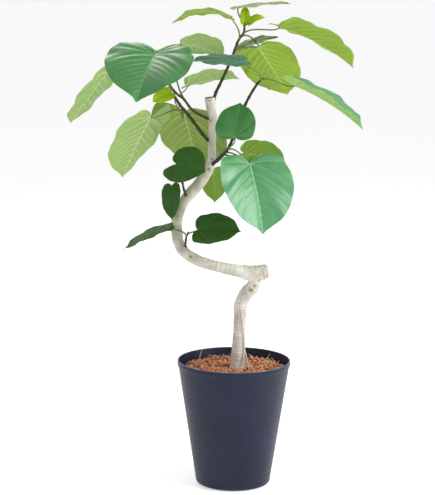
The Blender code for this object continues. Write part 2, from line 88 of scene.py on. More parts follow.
# Half the outline of a leaf from its notch to its tip: along over length, across over half breadth
BLADE_OUTLINE = (
    (-0.015, 0.00),
    (-0.10, 0.17),
    (-0.14, 0.45),
    (-0.07, 0.78),
    (0.12, 0.98),
    (0.38, 1.00),
    (0.62, 0.85),
    (0.80, 0.57),
    (0.90, 0.27),
    (0.95, 0.10),
    (0.98, 0.04),
    (1.00, 0.00),
)

# Centre line of the trunk from the soil to the elbow: x, y, z and radius
FOOT_LINE = (
    (0.0065, 0.000, SOIL_LEVEL, 0.0160),
    (0.0080, 0.000, 0.264, 0.0144),
    (0.0090, 0.000, 0.290, 0.0138),
    (0.0110, 0.000, 0.321, 0.0132),
    (0.0120, 0.000, 0.354, 0.0130),
    (0.0130, -0.002, 0.382, 0.0138),
    (0.0180, -0.005, 0.400, 0.0140),
    (0.0260, -0.010, 0.415, 0.0138),
    (0.0390, -0.020, 0.432, 0.0138),
    (0.0460, -0.035, 0.459, 0.0130),
)

# Centre line from the cut stub at the elbow to the trunk's cut tip, in the same way
TRUNK_LINE = (
    (0.0712, -0.0325, 0.4672, 0.0040),
    (0.0702, -0.0327, 0.4670, 0.0092),
    (0.0676, -0.0333, 0.4665, 0.0130),
    (0.0620, -0.0345, 0.4652, 0.0152),
    (0.048, -0.038, 0.462, 0.0165),
    (0.032, -0.043, 0.463, 0.0160),
    (0.017, -0.046, 0.466, 0.0140),
    (0.009, -0.048, 0.468, 0.0132),
    (-0.021, -0.054, 0.475, 0.0116),
    (-0.041, -0.057, 0.480, 0.0110),
    (-0.066, -0.058, 0.487, 0.0112),
    (-0.091, -0.055, 0.498, 0.0114),
    (-0.109, -0.048, 0.512, 0.0114),
    (-0.119, -0.038, 0.530, 0.0116),
    (-0.122, -0.026, 0.551, 0.0115),
    (-0.122, -0.016, 0.570, 0.0112),
    (-0.116, -0.004, 0.588, 0.0104),
    (-0.108, 0.008, 0.605, 0.0110),
    (-0.095, 0.017, 0.621, 0.0120),
    (-0.079, 0.024, 0.638, 0.0120),
    (-0.065, 0.028, 0.657, 0.0114),
    (-0.056, 0.029, 0.674, 0.0108),
    (-0.050, 0.027, 0.695, 0.0086),
    (-0.050, 0.021, 0.738, 0.0083),
    (-0.049, 0.015, 0.777, 0.0095),
    (-0.053, 0.010, 0.804, 0.0096),
    (-0.055, 0.008, 0.824, 0.0106),
)


def srgb(red: int, green: int, blue: int) -> Colour:
    """Turn a display colour of 0 to 255 into linear light.

    Args:
        red: The red channel.
        green: The green channel.
        blue: The blue channel.

    Returns:
        The linear colour.
    """
    shares = (channel / 255.0 for channel in (red, green, blue))
    return tuple(((s + 0.055) / 1.055) ** 2.4 if s > 0.04045 else s / 12.92 for s in shares)


class Tint(Enum):
    """The colour of a leaf: its upper side, its underside and its veins, with the light where the leaf hangs
    painted into most tints.
    """

    # A green with a painted mint sheen, where the upper side mirrors the bright sky
    MINT = (srgb(84, 152, 100), srgb(150, 186, 84), srgb(168, 212, 176))
    GREEN = (srgb(58, 128, 58), srgb(126, 160, 90), srgb(132, 186, 128))
    # A dark green with a painted blue sheen, from the sky mirrored in the upper side
    BLUE = (srgb(58, 112, 82), srgb(120, 150, 110), srgb(110, 160, 130))
    # Green darkened by painted shade, for the low leaves under the others
    DEEP = (srgb(50, 96, 32), srgb(96, 126, 60), srgb(74, 118, 48))
    # Pale and lime greens, lightened by painted light shining through the leaf from behind
    PALE = (srgb(142, 176, 96), srgb(154, 184, 108), srgb(210, 222, 170))
    LIME = (srgb(144, 178, 56), srgb(152, 184, 62), srgb(196, 214, 120))
    # Olive and moss greens: the leaf's own green, darkened by painted shade
    OLIVE = (srgb(116, 142, 52), srgb(134, 158, 72), srgb(188, 206, 134))
    MOSS = (srgb(98, 140, 36), srgb(112, 148, 48), srgb(150, 184, 90))
    YOUNG = (srgb(168, 200, 22), srgb(178, 204, 48), srgb(204, 220, 96))


@dataclass(frozen=True)
class Leaf:
    """One leaf, placed by the base of its blade and turned by heading, dip and roll in degrees.

    At is the share of the way along its shoot where the petiole leaves. Breadth is a share of the
    length. Fold lifts both halves, cup turns their edges down again, arch bends the midrib, and
    lobes stretches the part behind the petiole.
    """

    at: float
    base: tuple[float, float, float]
    length: float
    heading: float
    dip: float
    tint: Tint
    roll: float = 0.0
    breadth: float = 0.95
    fold: float = 20.0
    cup: float = 30.0
    arch: float = 25.0
    lobes: float = 1.0


@dataclass(frozen=True)
class Shoot:
    """A limb that leaves the trunk: its centre line, whether its foot is a bare bough, its leaves."""

    name: str
    line: tuple[Station, ...]
    bough: bool
    leaves: tuple[Leaf, ...]


SHOOTS = (
    Shoot(
        "leader",
        (
            (-0.050, 0.010, 0.806, 0.0034),
            (-0.043, 0.014, 0.832, 0.0033),
            (-0.034, 0.018, 0.851, 0.0031),
            (-0.020, 0.022, 0.881, 0.0030),
            (-0.007, 0.026, 0.913, 0.0028),
            (0.003, 0.030, 0.940, 0.0026),
            (0.014, 0.032, 0.957, 0.0022),
            (0.017, 0.032, 0.975, 0.0016),
        ),
        True,
        (
            Leaf(0.60, (0.045, 0.055, 0.927), 0.150, 50, 46, Tint.LIME, -15, 0.90, 3, 8, 8, 0.4),
            Leaf(0.66, (0.009, 0.070, 0.921), 0.085, 5, -17, Tint.MOSS, 10, 0.70, 12, 10),
            Leaf(0.75, (-0.013, 0.010, 0.989), 0.130, 175, 7, Tint.LIME, 10, 0.70, 4, 8, 70, 0.3),
            Leaf(0.85, (0.090, 0.030, 0.968), 0.190, 17, 27, Tint.LIME, -9, 0.74, 20, 15, 25, 0.4),
            Leaf(0.93, (0.003, 0.045, 1.008), 0.112, 5, -5, Tint.OLIVE, 0, 0.95, 5, 10, 12),
            Leaf(1.00, (0.017, 0.032, 0.978), 0.036, 90, -80, Tint.YOUNG, 0, 0.60, 30),
            Leaf(0.97, (0.026, 0.026, 0.978), 0.038, 10, -15, Tint.YOUNG, 30, 0.65, arch=90),
            Leaf(0.80, (0.066, 0.130, 0.893), 0.105, 84, 42, Tint.GREEN, -6, 0.95, 14),
        ),
    ),
    Shoot(
        "right",
        (
            (-0.056, 0.028, 0.676, 0.0036),
            (-0.033, 0.008, 0.698, 0.0035),
            (-0.016, -0.008, 0.719, 0.0033),
            (0.000, -0.020, 0.760, 0.0031),
            (0.019, -0.028, 0.814, 0.0029),
            (0.041, -0.034, 0.854, 0.0026),
            (0.054, -0.036, 0.867, 0.0018),
        ),
        True,
        (
            Leaf(0.30, (-0.003, -0.060, 0.750), 0.074, 68, -65, Tint.GREEN, 0, 1.18, 18, lobes=0.7),
            Leaf(0.27, (0.028, -0.070, 0.695), 0.155, -68, 62, Tint.MINT, 0, 1.02, 21, 18, lobes=0.8),
            Leaf(0.32, (0.018, 0.030, 0.705), 0.092, 10, 12, Tint.MOSS, -45, 0.90, 15, 15),
            Leaf(0.98, (0.119, -0.030, 0.853), 0.170, -16, 30, Tint.MINT, -6, 0.82, 20, 12, 20),
            Leaf(0.94, (0.012, -0.050, 0.904), 0.106, -172, 0, Tint.BLUE, -10, 0.95, 4, 8, 12),
            Leaf(0.22, (0.032, 0.060, 0.668), 0.130, 74, 52, Tint.GREEN, 8, 0.95, 14),
        ),
    ),
    Shoot(
        "left_upper",
        (
            (-0.050, 0.013, 0.776, 0.0030),
            (-0.069, 0.004, 0.785, 0.0029),
            (-0.092, -0.005, 0.800, 0.0027),
            (-0.108, -0.012, 0.821, 0.0025),
            (-0.123, -0.018, 0.833, 0.0022),
            (-0.134, -0.022, 0.843, 0.0016),
        ),
        True,
        (
            Leaf(0.97, (-0.167, -0.075, 0.915), 0.163, -103, 31, Tint.GREEN, -6, 1.09, 19, 20, lobes=1.8),
            Leaf(0.62, (-0.118, 0.060, 0.931), 0.112, 30, 15, Tint.PALE, -22, 0.95, 14, 15, lobes=0.5),
            Leaf(0.58, (-0.102, 0.085, 0.842), 0.114, 10, -7, Tint.PALE, -21, 0.90, 18, 15, lobes=0.6),
            Leaf(0.78, (-0.168, 0.080, 0.915), 0.125, 98, 30, Tint.GREEN, -5, 0.95, 15),
        ),
    ),
    Shoot(
        "left_lower",
        (
            (-0.050, 0.022, 0.726, 0.0036),
            (-0.067, 0.018, 0.743, 0.0035),
            (-0.096, 0.014, 0.782, 0.0033),
            (-0.117, 0.010, 0.808, 0.0030),
            (-0.127, 0.008, 0.823, 0.0028),
            (-0.138, 0.006, 0.835, 0.0020),
        ),
        True,
        (
            Leaf(0.95, (-0.268, 0.050, 0.875), 0.170, 137, 46, Tint.PALE, -15, 0.75, 3, 8, 5),
            Leaf(0.50, (-0.178, 0.030, 0.779), 0.172, 129, 53, Tint.PALE, -9, 0.85, 12, 12, 10),
            Leaf(0.72, (-0.110, 0.085, 0.782), 0.151, 66, 60, Tint.OLIVE, 12, 1.25, 6, 12, 10, 1.1),
            Leaf(1.00, (-0.136, 0.000, 0.834), 0.045, -160, 25, Tint.YOUNG, -50, 0.75),
            Leaf(0.52, (-0.100, 0.160, 0.752), 0.135, 92, 46, Tint.GREEN, 4, 0.95, 14),
        ),
    ),
    Shoot(
        "back_low",
        (
            (-0.056, 0.029, 0.676, 0.0026),
            (-0.054, 0.048, 0.684, 0.0025),
            (-0.050, 0.062, 0.700, 0.0018),
        ),
        False,
        (Leaf(0.90, (-0.048, 0.075, 0.662), 0.080, 82, 67, Tint.MOSS, 0, 0.75),),
    ),
    Shoot(
        "low",
        (
            (-0.103, 0.014, 0.612, 0.0026),
            (-0.105, -0.003, 0.624, 0.0025),
            (-0.108, -0.008, 0.634, 0.0023),
            (-0.112, -0.012, 0.651, 0.0021),
            (-0.120, -0.014, 0.664, 0.0014),
        ),
        False,
        (
            Leaf(1.00, (-0.122, -0.018, 0.687), 0.075, -35, 8, Tint.DEEP, 50, 1.20, 12, 12, lobes=2.2),
            Leaf(0.75, (-0.133, -0.015, 0.641), 0.072, -85, 72, Tint.DEEP, 25, 0.58, 12, 15, lobes=0.6),
        ),
    ),
    Shoot(
        "lowest",
        (
            (-0.103, -0.048, 0.507, 0.0024),
            (-0.103, -0.056, 0.524, 0.0023),
            (-0.101, -0.060, 0.541, 0.0020),
            (-0.097, -0.062, 0.552, 0.0012),
        ),
        False,
        (
            Leaf(0.80, (-0.077, -0.070, 0.558), 0.092, -13, 0, Tint.DEEP, 40, 0.90, 10, 15, lobes=0.7),
            Leaf(0.72, (-0.141, -0.065, 0.563), 0.105, -174, 28, Tint.DEEP, -3, 0.75, 0, 5, 30),
        ),
    ),
)


def smooth_line(stations: Sequence[Sequence[float]], steps: int) -> np.ndarray:
    """Return a smooth line through the stations.

    Args:
        stations: Points of any width, such as (x, y, z, radius).
        steps: Points in each span.

    Returns:
        The points of a Catmull-Rom curve.
    """
    knots = np.array(stations, dtype=float)
    knots = np.vstack([2.0 * knots[0] - knots[1], knots, 2.0 * knots[-1] - knots[-2]])
    t = (np.arange(steps) / steps)[:, None]
    spans = []
    for before, start, end, after in zip(knots, knots[1:], knots[2:], knots[3:]):
        bend = 2.0 * before - 5.0 * start + 4.0 * end - after
        twist = 3.0 * start - before - 3.0 * end + after
        spans.append(0.5 * (2.0 * start + (end - before) * t + bend * t**2 + twist * t**3))
    return np.vstack([*spans, knots[-2]])


@dataclass
class Shell:
    """A mesh in the making: points, faces and the material number of each face."""

    points: list[np.ndarray] = field(default_factory=list)
    faces: list[tuple[int, ...]] = field(default_factory=list)
    looks: list[int] = field(default_factory=list)
    count: int = 0

    def add(self, points: np.ndarray, faces: Sequence[tuple[int, ...]], look: int = 0) -> None:
        """Add points and the faces between them.

        Args:
            points: The new points.
            faces: Faces whose numbers count from the first new point.
            look: The faces' material number.
        """
        self.points.append(np.asarray(points, dtype=float))
        self.faces += [tuple(k + self.count for k in face) for face in faces]
        self.looks += [look] * len(faces)
        self.count += len(points)

    def add_tube(self, rings: np.ndarray, look: int = 0) -> None:
        """Add a closed tube through rings of points.

        Args:
            rings: An array of rings, sides and coordinates.
            look: The faces' material number.
        """
        count, sides = rings.shape[:2]
        faces = [tuple(range(sides))[::-1], tuple(range((count - 1) * sides, count * sides))]
        for ring in range(count - 1):
            for k in range(sides):
                low, high, after = ring * sides, (ring + 1) * sides, (k + 1) % sides
                faces.append((low + k, low + after, high + after, high + k))
        self.add(rings.reshape(-1, 3), faces, look)

    def build(
        self, name: str, materials: Sequence[bpy.types.Material], smooth: float = SMOOTH_ANGLE
    ) -> bpy.types.Object:
        """Return the finished object.

        Args:
            name: The object's name.
            materials: Its materials, in the order of the material numbers.
            smooth: Edges sharper than this many degrees stay sharp.

        Returns:
            The object, at the origin, with its faces outward.
        """
        mesh = bpy.data.meshes.new(name)
        mesh.from_pydata(np.vstack(self.points).tolist(), [], self.faces)
        for made in materials:
            mesh.materials.append(made)
        mesh.polygons.foreach_set("material_index", self.looks)
        surface = bmesh.new()
        surface.from_mesh(mesh)
        bmesh.ops.recalc_face_normals(surface, faces=surface.faces)
        surface.to_mesh(mesh)
        surface.free()
        mesh.shade_smooth()
        mesh.set_sharp_from_angle(angle=math.radians(smooth))
        thing = bpy.data.objects.new(name, mesh)
        bpy.context.scene.collection.objects.link(thing)
        return thing


def tube_rings(line: np.ndarray, sides: int) -> np.ndarray:
    """Return rings of points round a line of (x, y, z, radius) points.

    Args:
        line: The centre line with its radii.
        sides: Points in each ring.

    Returns:
        An array of rings, sides and coordinates.
    """
    centres, radii = line[:, :3], line[:, 3]
    along = np.gradient(centres, axis=0)
    along /= np.linalg.norm(along, axis=1, keepdims=True)
    across = (0.0, 1.0, 0.0) if abs(along[0][1]) < NEARLY_ALONG else (1.0, 0.0, 0.0)
    side = np.cross(along[0], across)
    angles = np.linspace(0.0, FULL_TURN, sides, endpoint=False)
    rings = []
    for centre, direction, radius in zip(centres, along, radii):
        side = side - direction * np.dot(side, direction)
        side /= np.linalg.norm(side)
        other = np.cross(direction, side)
        circle = np.outer(np.cos(angles), side) + np.outer(np.sin(angles), other)
        rings.append(centre + radius * circle)
    return np.array(rings)


class Nodes:
    """Short ways to build a node tree."""

    def __init__(self, tree: bpy.types.NodeTree) -> None:
        """Keep the tree that the nodes go in."""
        self.tree = tree

    def add(self, kind: str, inputs: dict | None = None, **settings: object) -> bpy.types.Node:
        """Add a node.

        Args:
            kind: The node's type name.
            inputs: Socket name or number to a value, or to the output that feeds it.
            **settings: The node's own properties.

        Returns:
            The node.
        """
        node = self.tree.nodes.new(kind)
        for key, value in settings.items():
            setattr(node, key, value)
        for key, value in (inputs or {}).items():
            if isinstance(value, bpy.types.NodeSocket):
                self.tree.links.new(value, node.inputs[key])
            else:
                node.inputs[key].default_value = value
        return node


# Numbers of the Mix node's colour sockets, whose names its other kinds share
MIX_SHARE, MIX_FIRST, MIX_SECOND, MIX_RESULT = 0, 6, 7, 2
PATCH_EDGE = (0.38, 0.68)
PATCH_DETAIL = 4.0
GRAIN_DETAIL = 3.0
GRAIN_MIDDLE = 0.5


def mottle_group() -> bpy.types.NodeTree:
    """Build the group that shades a colour in soft patches and gives a fine grain, once.

    Returns:
        The group. It takes two colours, scales and amounts, and gives a colour, a roughness and
        the grain's height.
    """
    tree = bpy.data.node_groups.get("Mottle")
    if tree is not None:
        return tree
    tree = bpy.data.node_groups.new("Mottle", "ShaderNodeTree")
    face = tree.interface
    for name, kind, start in (
        ("Colour", "Color", (0.5, 0.5, 0.5, 1.0)),
        ("Patch Colour", "Color", (0.3, 0.3, 0.3, 1.0)),
        ("Patch Scale", "Float", 30.0),
        ("Patch Amount", "Float", 0.5),
        ("Grain Scale", "Float", 900.0),
        ("Roughness", "Float", 0.5),
        ("Roughness Spread", "Float", 0.1),
    ):
        face.new_socket(name, in_out="INPUT", socket_type=f"NodeSocket{kind}").default_value = start
    for name, kind in (("Colour", "Color"), ("Roughness", "Float"), ("Grain", "Float")):
        face.new_socket(name, in_out="OUTPUT", socket_type=f"NodeSocket{kind}")
    make = Nodes(tree)
    given = make.add("NodeGroupInput").outputs
    place = make.add("ShaderNodeTexCoord").outputs["Object"]
    patch = make.add(
        "ShaderNodeTexNoise", {"Vector": place, "Scale": given["Patch Scale"], "Detail": PATCH_DETAIL}
    )
    edge = make.add(
        "ShaderNodeMapRange",
        {"Value": patch.outputs["Fac"], "From Min": PATCH_EDGE[0], "From Max": PATCH_EDGE[1]},
    )
    share = make.add("ShaderNodeMath", {0: edge.outputs[0], 1: given["Patch Amount"]}, operation="MULTIPLY")
    blend = make.add(
        "ShaderNodeMix",
        {MIX_SHARE: share.outputs[0], MIX_FIRST: given["Colour"], MIX_SECOND: given["Patch Colour"]},
        data_type="RGBA",
    )
    grain = make.add(
        "ShaderNodeTexNoise", {"Vector": place, "Scale": given["Grain Scale"], "Detail": GRAIN_DETAIL}
    )
    centred = make.add("ShaderNodeMath", {0: grain.outputs["Fac"], 1: GRAIN_MIDDLE}, operation="SUBTRACT")
    rough = make.add(
        "ShaderNodeMath",
        {0: centred.outputs[0], 1: given["Roughness Spread"], 2: given["Roughness"]},
        operation="MULTIPLY_ADD",
    )
    make.add(
        "NodeGroupOutput",
        {"Colour": blend.outputs[MIX_RESULT], "Roughness": rough.outputs[0], "Grain": grain.outputs["Fac"]},
    )
    return tree


@dataclass(frozen=True)
class Finish:
    """A surface: its colour, the colour and size of its patches, its grain, relief and gloss.

    Scales count features in a metre, and relief is the grain's height.
    """

    name: str
    colour: Colour
    patch: Colour
    patch_scale: float = 40.0
    patch_amount: float = 0.5
    grain_scale: float = 900.0
    relief: float = 0.0003
    roughness: float = 0.5
    roughness_spread: float = 0.15
    specular: float = 0.5
    coat: float = 0.0
    coat_roughness: float = 0.25
    relief_strength: float = 0.6

    def material(self) -> bpy.types.Material:
        """Build the finish as a material, once.

        Returns:
            The material.
        """
        made = bpy.data.materials.get(self.name)
        if made is not None:
            return made
        made = bpy.data.materials.new(self.name)
        made.use_nodes = True
        shader = made.node_tree.nodes["Principled BSDF"]
        make = Nodes(made.node_tree)
        group = make.add("ShaderNodeGroup", node_tree=mottle_group())
        for socket, value in (
            ("Colour", (*self.colour, 1.0)),
            ("Patch Colour", (*self.patch, 1.0)),
            ("Patch Scale", self.patch_scale),
            ("Patch Amount", self.patch_amount),
            ("Grain Scale", self.grain_scale),
            ("Roughness", self.roughness),
            ("Roughness Spread", self.roughness_spread),
        ):
            group.inputs[socket].default_value = value
        bump = make.add(
            "ShaderNodeBump",
            {"Height": group.outputs["Grain"], "Distance": self.relief, "Strength": self.relief_strength},
        )
        links = made.node_tree.links
        links.new(group.outputs["Colour"], shader.inputs["Base Color"])
        links.new(group.outputs["Roughness"], shader.inputs["Roughness"])
        links.new(bump.outputs["Normal"], shader.inputs["Normal"])
        shader.inputs["Specular IOR Level"].default_value = self.specular
        shader.inputs["Coat Weight"].default_value = self.coat
        shader.inputs["Coat Roughness"].default_value = self.coat_roughness
        made.diffuse_color = (*self.colour, 1.0)
        return made


def shade(colour: Colour, factor: float) -> Colour:
    """Return the colour made lighter or darker by a factor."""
    return tuple(min(1.0, channel * factor) for channel in colour)


BARK = Finish(
    "pale_bark",
    srgb(214, 211, 202),
    srgb(150, 134, 110),
    patch_scale=34.0,
    patch_amount=0.62,
    grain_scale=420.0,
    relief=0.0012,
    roughness=0.62,
    roughness_spread=0.2,
    specular=0.35,
)
BARK_SCAR = Finish(
    "bark_scar",
    srgb(172, 138, 100),
    srgb(104, 76, 50),
    patch_scale=170.0,
    patch_amount=0.8,
    grain_scale=700.0,
    relief=0.001,
    roughness=0.85,
    roughness_spread=0.1,
    specular=0.2,
)
CUT = Finish(
    "cut_wood",
    srgb(168, 140, 104),
    srgb(92, 66, 44),
    patch_scale=180.0,
    patch_amount=0.8,
    grain_scale=800.0,
    relief=0.001,
    roughness=0.85,
    roughness_spread=0.1,
    specular=0.2,
)
TWIG = Finish(
    "brown_twig",
    srgb(50, 50, 24),
    srgb(30, 32, 12),
    patch_scale=160.0,
    patch_amount=0.7,
    grain_scale=900.0,
    relief=0.0004,
    roughness=0.55,
    roughness_spread=0.15,
    specular=0.4,
)
PETIOLE = Finish(
    "green_petiole",
    srgb(106, 122, 52),
    srgb(70, 84, 34),
    patch_scale=120.0,
    patch_amount=0.6,
    grain_scale=900.0,
    relief=0.0003,
    roughness=0.45,
    roughness_spread=0.1,
    specular=0.4,
)
PLASTIC = Finish(
    "dark_blue_plastic",
    srgb(24, 30, 56),
    srgb(18, 22, 42),
    patch_scale=14.0,
    patch_amount=0.7,
    grain_scale=1400.0,
    relief=0.0001,
    roughness=0.44,
    roughness_spread=0.12,
    specular=0.3,
)
# The rim's lighter blue-grey is a painted highlight, where the top of the rim catches the light
RIM_HIGHLIGHT = Finish(
    "worn_plastic_rim",
    srgb(104, 110, 132),
    srgb(58, 64, 86),
    patch_scale=60.0,
    patch_amount=0.8,
    grain_scale=1400.0,
    relief=0.0001,
    roughness=0.4,
    roughness_spread=0.12,
    specular=0.5,
)
SOIL = Finish(
    "dark_soil",
    srgb(58, 34, 24),
    srgb(26, 16, 12),
    patch_scale=90.0,
    patch_amount=0.8,
    grain_scale=500.0,
    relief=0.002,
    roughness=0.95,
    roughness_spread=0.05,
    specular=0.2,
)


def husk(name: str, colour: Colour, patch: Colour) -> Finish:
    """Return the finish of one shade of husk.

    Args:
        name: The material's name.
        colour: The main colour.
        patch: The colour of the patches.

    Returns:
        The finish.
    """
    return Finish(
        name,
        colour,
        patch,
        patch_scale=130.0,
        patch_amount=0.8,
        grain_scale=600.0,
        relief=0.001,
        roughness=0.9,
        roughness_spread=0.1,
        specular=0.2,
    )


HUSK_TAN = husk("husk_tan", srgb(208, 146, 108), srgb(158, 88, 60))
HUSK_RED = husk("husk_red", srgb(170, 94, 64), srgb(104, 52, 36))
HUSK_DARK = husk("husk_dark", srgb(120, 62, 44), srgb(52, 28, 22))
FIBRE = Finish(
    "husk_fibre",
    srgb(228, 190, 146),
    srgb(196, 136, 92),
    patch_scale=200.0,
    patch_amount=0.6,
    grain_scale=900.0,
    relief=0.0004,
    roughness=0.85,
    roughness_spread=0.1,
    specular=0.2,
)


@dataclass(frozen=True)
class Gloss:
    """How shiny the upper side of a leaf is."""

    roughness: float
    specular: float
    coat: float


FRESH_GLOSS = Gloss(roughness=0.38, specular=0.6, coat=0.12)
SOFT_GLOSS = Gloss(roughness=0.52, specular=0.3, coat=0.0)
FRESH_TINTS = (Tint.MINT, Tint.GREEN)


def leaf_finishes(tint: Tint) -> tuple[Finish, Finish, Finish]:
    """Return the finishes of a leaf's upper side, underside and veins.

    Args:
        tint: The leaf's colour.

    Returns:
        The three finishes, in that order.
    """
    upper, under, vein = tint.value
    name = f"leaf_{tint.name.lower()}"
    gloss = FRESH_GLOSS if tint in FRESH_TINTS else SOFT_GLOSS
    return (
        Finish(
            f"{name}_upper",
            upper,
            shade(upper, 0.72),
            patch_scale=55.0,
            patch_amount=0.45,
            grain_scale=700.0,
            relief=0.0003,
            roughness=gloss.roughness,
            roughness_spread=0.14,
            specular=gloss.specular,
            coat=gloss.coat,
        ),
        Finish(
            f"{name}_under",
            under,
            shade(under, 0.84),
            patch_scale=60.0,
            patch_amount=0.45,
            grain_scale=900.0,
            relief=0.0003,
            roughness=0.62,
            roughness_spread=0.14,
            specular=0.2,
        ),
        Finish(
            f"{name}_vein",
            vein,
            shade(vein, 0.85),
            patch_scale=90.0,
            patch_amount=0.4,
            grain_scale=900.0,
            relief=0.0002,
            roughness=0.5,
            roughness_spread=0.1,
            specular=0.4,
        ),
    )


@dataclass
class Blade:
    """The blade of one leaf: an outline round the petiole's end, veins, and relief between them.

    A place on it is (u, v): u runs along the midrib from the petiole's end, and v to its left.
    """

    leaf: Leaf
    phase: float
    thickness: float = 0.0006
    thin_start: float = 1.2
    thin_fall: float = 0.6
    outline_steps: int = 12
    columns: int = 58
    rings: int = 27
    ring_power: float = 0.85
    wave: float = 0.014
    waves: float = 3.5
    wave_turns: float = 4.0
    fine_wave: float = 0.35
    fine_turns: float = 9.0
    usual_length: float = 0.15
    quilt: float = 0.0024
    quilt_reach: float = 0.0056
    quilt_edge: float = 1.15
    midrib_width: float = 0.0028
    midrib_reach: float = 0.985
    midrib_points: int = 30
    basal_turns: tuple[float, ...] = (128.0, 92.0, 60.0)
    basal_bend: float = 0.6
    basal_width: float = 1.25
    laterals: int = 8
    lateral_start: float = 0.13
    lateral_run: float = 0.78
    lateral_turn: float = 56.0
    lateral_fall: float = 1.2
    lateral_bend: float = 0.5
    trace_points: int = 40
    trace_reach: float = 1.2
    trace_skip: float = 0.02
    trace_least: int = 4
    vein_width: float = 0.0015
    vein_reach: float = 0.95
    vein_points: int = 12
    vein_taper: float = 0.28
    vein_sink: float = 0.55
    vein_section: tuple[tuple[float, float], ...] = (
        (0.5, 0.0),
        (0.0, 0.24),
        (-0.5, 0.0),
        (-0.28, -0.5),
        (0.28, -0.5),
    )
    outline_u: np.ndarray = field(init=False)
    outline_v: np.ndarray = field(init=False)
    half_breadth: float = field(init=False)
    run: np.ndarray = field(init=False)
    angles: np.ndarray = field(init=False)
    radii: np.ndarray = field(init=False)
    veins: list[tuple[np.ndarray, float]] = field(init=False)

    def __post_init__(self) -> None:
        """Work out the outline's polar table and the veins."""
        half = smooth_line(BLADE_OUTLINE, self.outline_steps)
        along = half[:, 0] * self.leaf.length
        self.outline_u = np.where(along < 0.0, self.leaf.lobes * along, along)
        self.half_breadth = 0.5 * self.leaf.breadth * self.leaf.length
        self.outline_v = half[:, 1] * self.half_breadth
        run = np.hypot(np.diff(self.outline_u), np.diff(self.outline_v))
        self.run = np.concatenate([[0.0], np.cumsum(run)])
        self.angles = np.arctan2(self.outline_v, self.outline_u)
        self.radii = np.hypot(self.outline_u, self.outline_v)
        self.veins = self.make_veins()

    def axes(self) -> tuple[np.ndarray, np.ndarray, np.ndarray]:
        """Work out how the blade lies.

        Returns:
            Unit vectors along the blade, to its left, and to its upper side.
        """
        heading, dip, roll = (math.radians(a) for a in (self.leaf.heading, self.leaf.dip, self.leaf.roll))
        level_run = math.cos(dip)
        along = np.array((level_run * math.cos(heading), level_run * math.sin(heading), -math.sin(dip)))
        level = np.array((-math.sin(heading), math.cos(heading), 0.0))
        left = math.cos(roll) * level + math.sin(roll) * np.cross(along, level)
        return along, left, np.cross(along, left)

    def place(self, u: np.ndarray, v: np.ndarray, lift: np.ndarray | float = 0.0) -> np.ndarray:
        """Return points of the blade in space.

        Args:
            u: Places along the midrib.
            v: Places across it.
            lift: Height above the middle surface.

        Returns:
            The points.
        """
        leaf = self.leaf
        along, left, up = self.axes()
        fold, cup = math.radians(leaf.fold), math.radians(max(leaf.cup, LEAST_BEND))
        share = np.abs(v) / self.half_breadth
        across = np.sign(v) * self.half_breadth / cup * (math.sin(fold) - np.sin(fold - cup * share))
        height = self.half_breadth / cup * (np.cos(fold - cup * share) - math.cos(fold)) + lift
        arch = math.radians(max(leaf.arch, LEAST_BEND))
        bend = arch / leaf.length
        turn = bend * u - 0.5 * arch
        forward = (np.sin(turn) + math.sin(0.5 * arch)) / bend + height * np.sin(turn)
        rise = (np.cos(turn) - math.cos(0.5 * arch)) / bend + height * np.cos(turn)
        return np.array(leaf.base) + np.outer(forward, along) + np.outer(across, left) + np.outer(rise, up)

    def polar(self, u: np.ndarray, v: np.ndarray) -> tuple[np.ndarray, np.ndarray]:
        """Return how far towards the edge points lie, and where round it, both from 0 to 1.

        Args:
            u: Places along the midrib.
            v: Places across it.

        Returns:
            The share of the way to the edge, and the share of the edge's run from notch to notch.
        """
        angle = np.arctan2(np.abs(v), u)
        order = np.argsort(self.angles)
        radius = np.interp(angle, self.angles[order], self.radii[order])
        run = np.interp(angle, self.angles[order], self.run[order]) / (2.0 * self.run[-1])
        return np.hypot(u, v) / radius, np.where(v < 0.0, 1.0 - run, run)

    def wavy(self, u: np.ndarray, v: np.ndarray) -> np.ndarray:
        """Work out the lift of the wavy margin.

        Args:
            u: Places along the midrib.
            v: Places across it.

        Returns:
            The lift at each place.
        """
        share, run = self.polar(u, v)
        main = np.sin(self.waves * self.wave_turns * math.pi * run + self.phase)
        fine = self.fine_wave * np.sin(self.waves * self.fine_turns * math.pi * run + 2.0 * self.phase)
        return self.wave * self.leaf.length * (share**2 * main + share**4 * fine)

    def make_veins(self) -> list[tuple[np.ndarray, float]]:
        """Trace the midrib, the veins that fan out from the petiole and the side veins.

        Returns:
            The veins, each a line of (u, v) points and its width at the start.
        """
        length = self.leaf.length
        scale = min(1.0, length / self.usual_length)
        middle = np.linspace(0.0, self.midrib_reach * length, self.midrib_points)
        veins = [(np.column_stack([middle, np.zeros(self.midrib_points)]), self.midrib_width * scale)]
        starts = [(0.0, turn, self.basal_bend) for turn in self.basal_turns]
        spacing = self.lateral_run / self.laterals
        for k in range(self.laterals):
            start = (self.lateral_start + spacing * k) * length
            starts.append((start, self.lateral_turn - self.lateral_fall * k, self.lateral_bend))
        step = np.linspace(0.0, 1.0, self.trace_points)
        stride = np.diff(self.trace_reach * length * step)
        for number, (start, turn, bend) in enumerate(starts):
            angle = (math.radians(turn) - bend * step)[1:]
            u = start + np.concatenate([[0.0], np.cumsum(np.cos(angle) * stride)])
            v = np.concatenate([[0.0], np.cumsum(np.sin(angle) * stride)])
            share, _ = self.polar(u, np.maximum(v, TINY))
            inside = (share < self.vein_reach) | (step < self.trace_skip)
            count = len(step) if inside.all() else int(np.argmin(inside))
            if count < self.trace_least:
                continue
            even, order = np.linspace(0.0, count - 1.0, self.vein_points), np.arange(len(u))
            line = np.column_stack([np.interp(even, order, u), np.interp(even, order, v)])
            basal = number < len(self.basal_turns)
            width = self.vein_width * scale * (self.basal_width if basal else 1.0)
            veins += [(line * (1.0, side), width) for side in MIRROR_SIDES]
        return veins

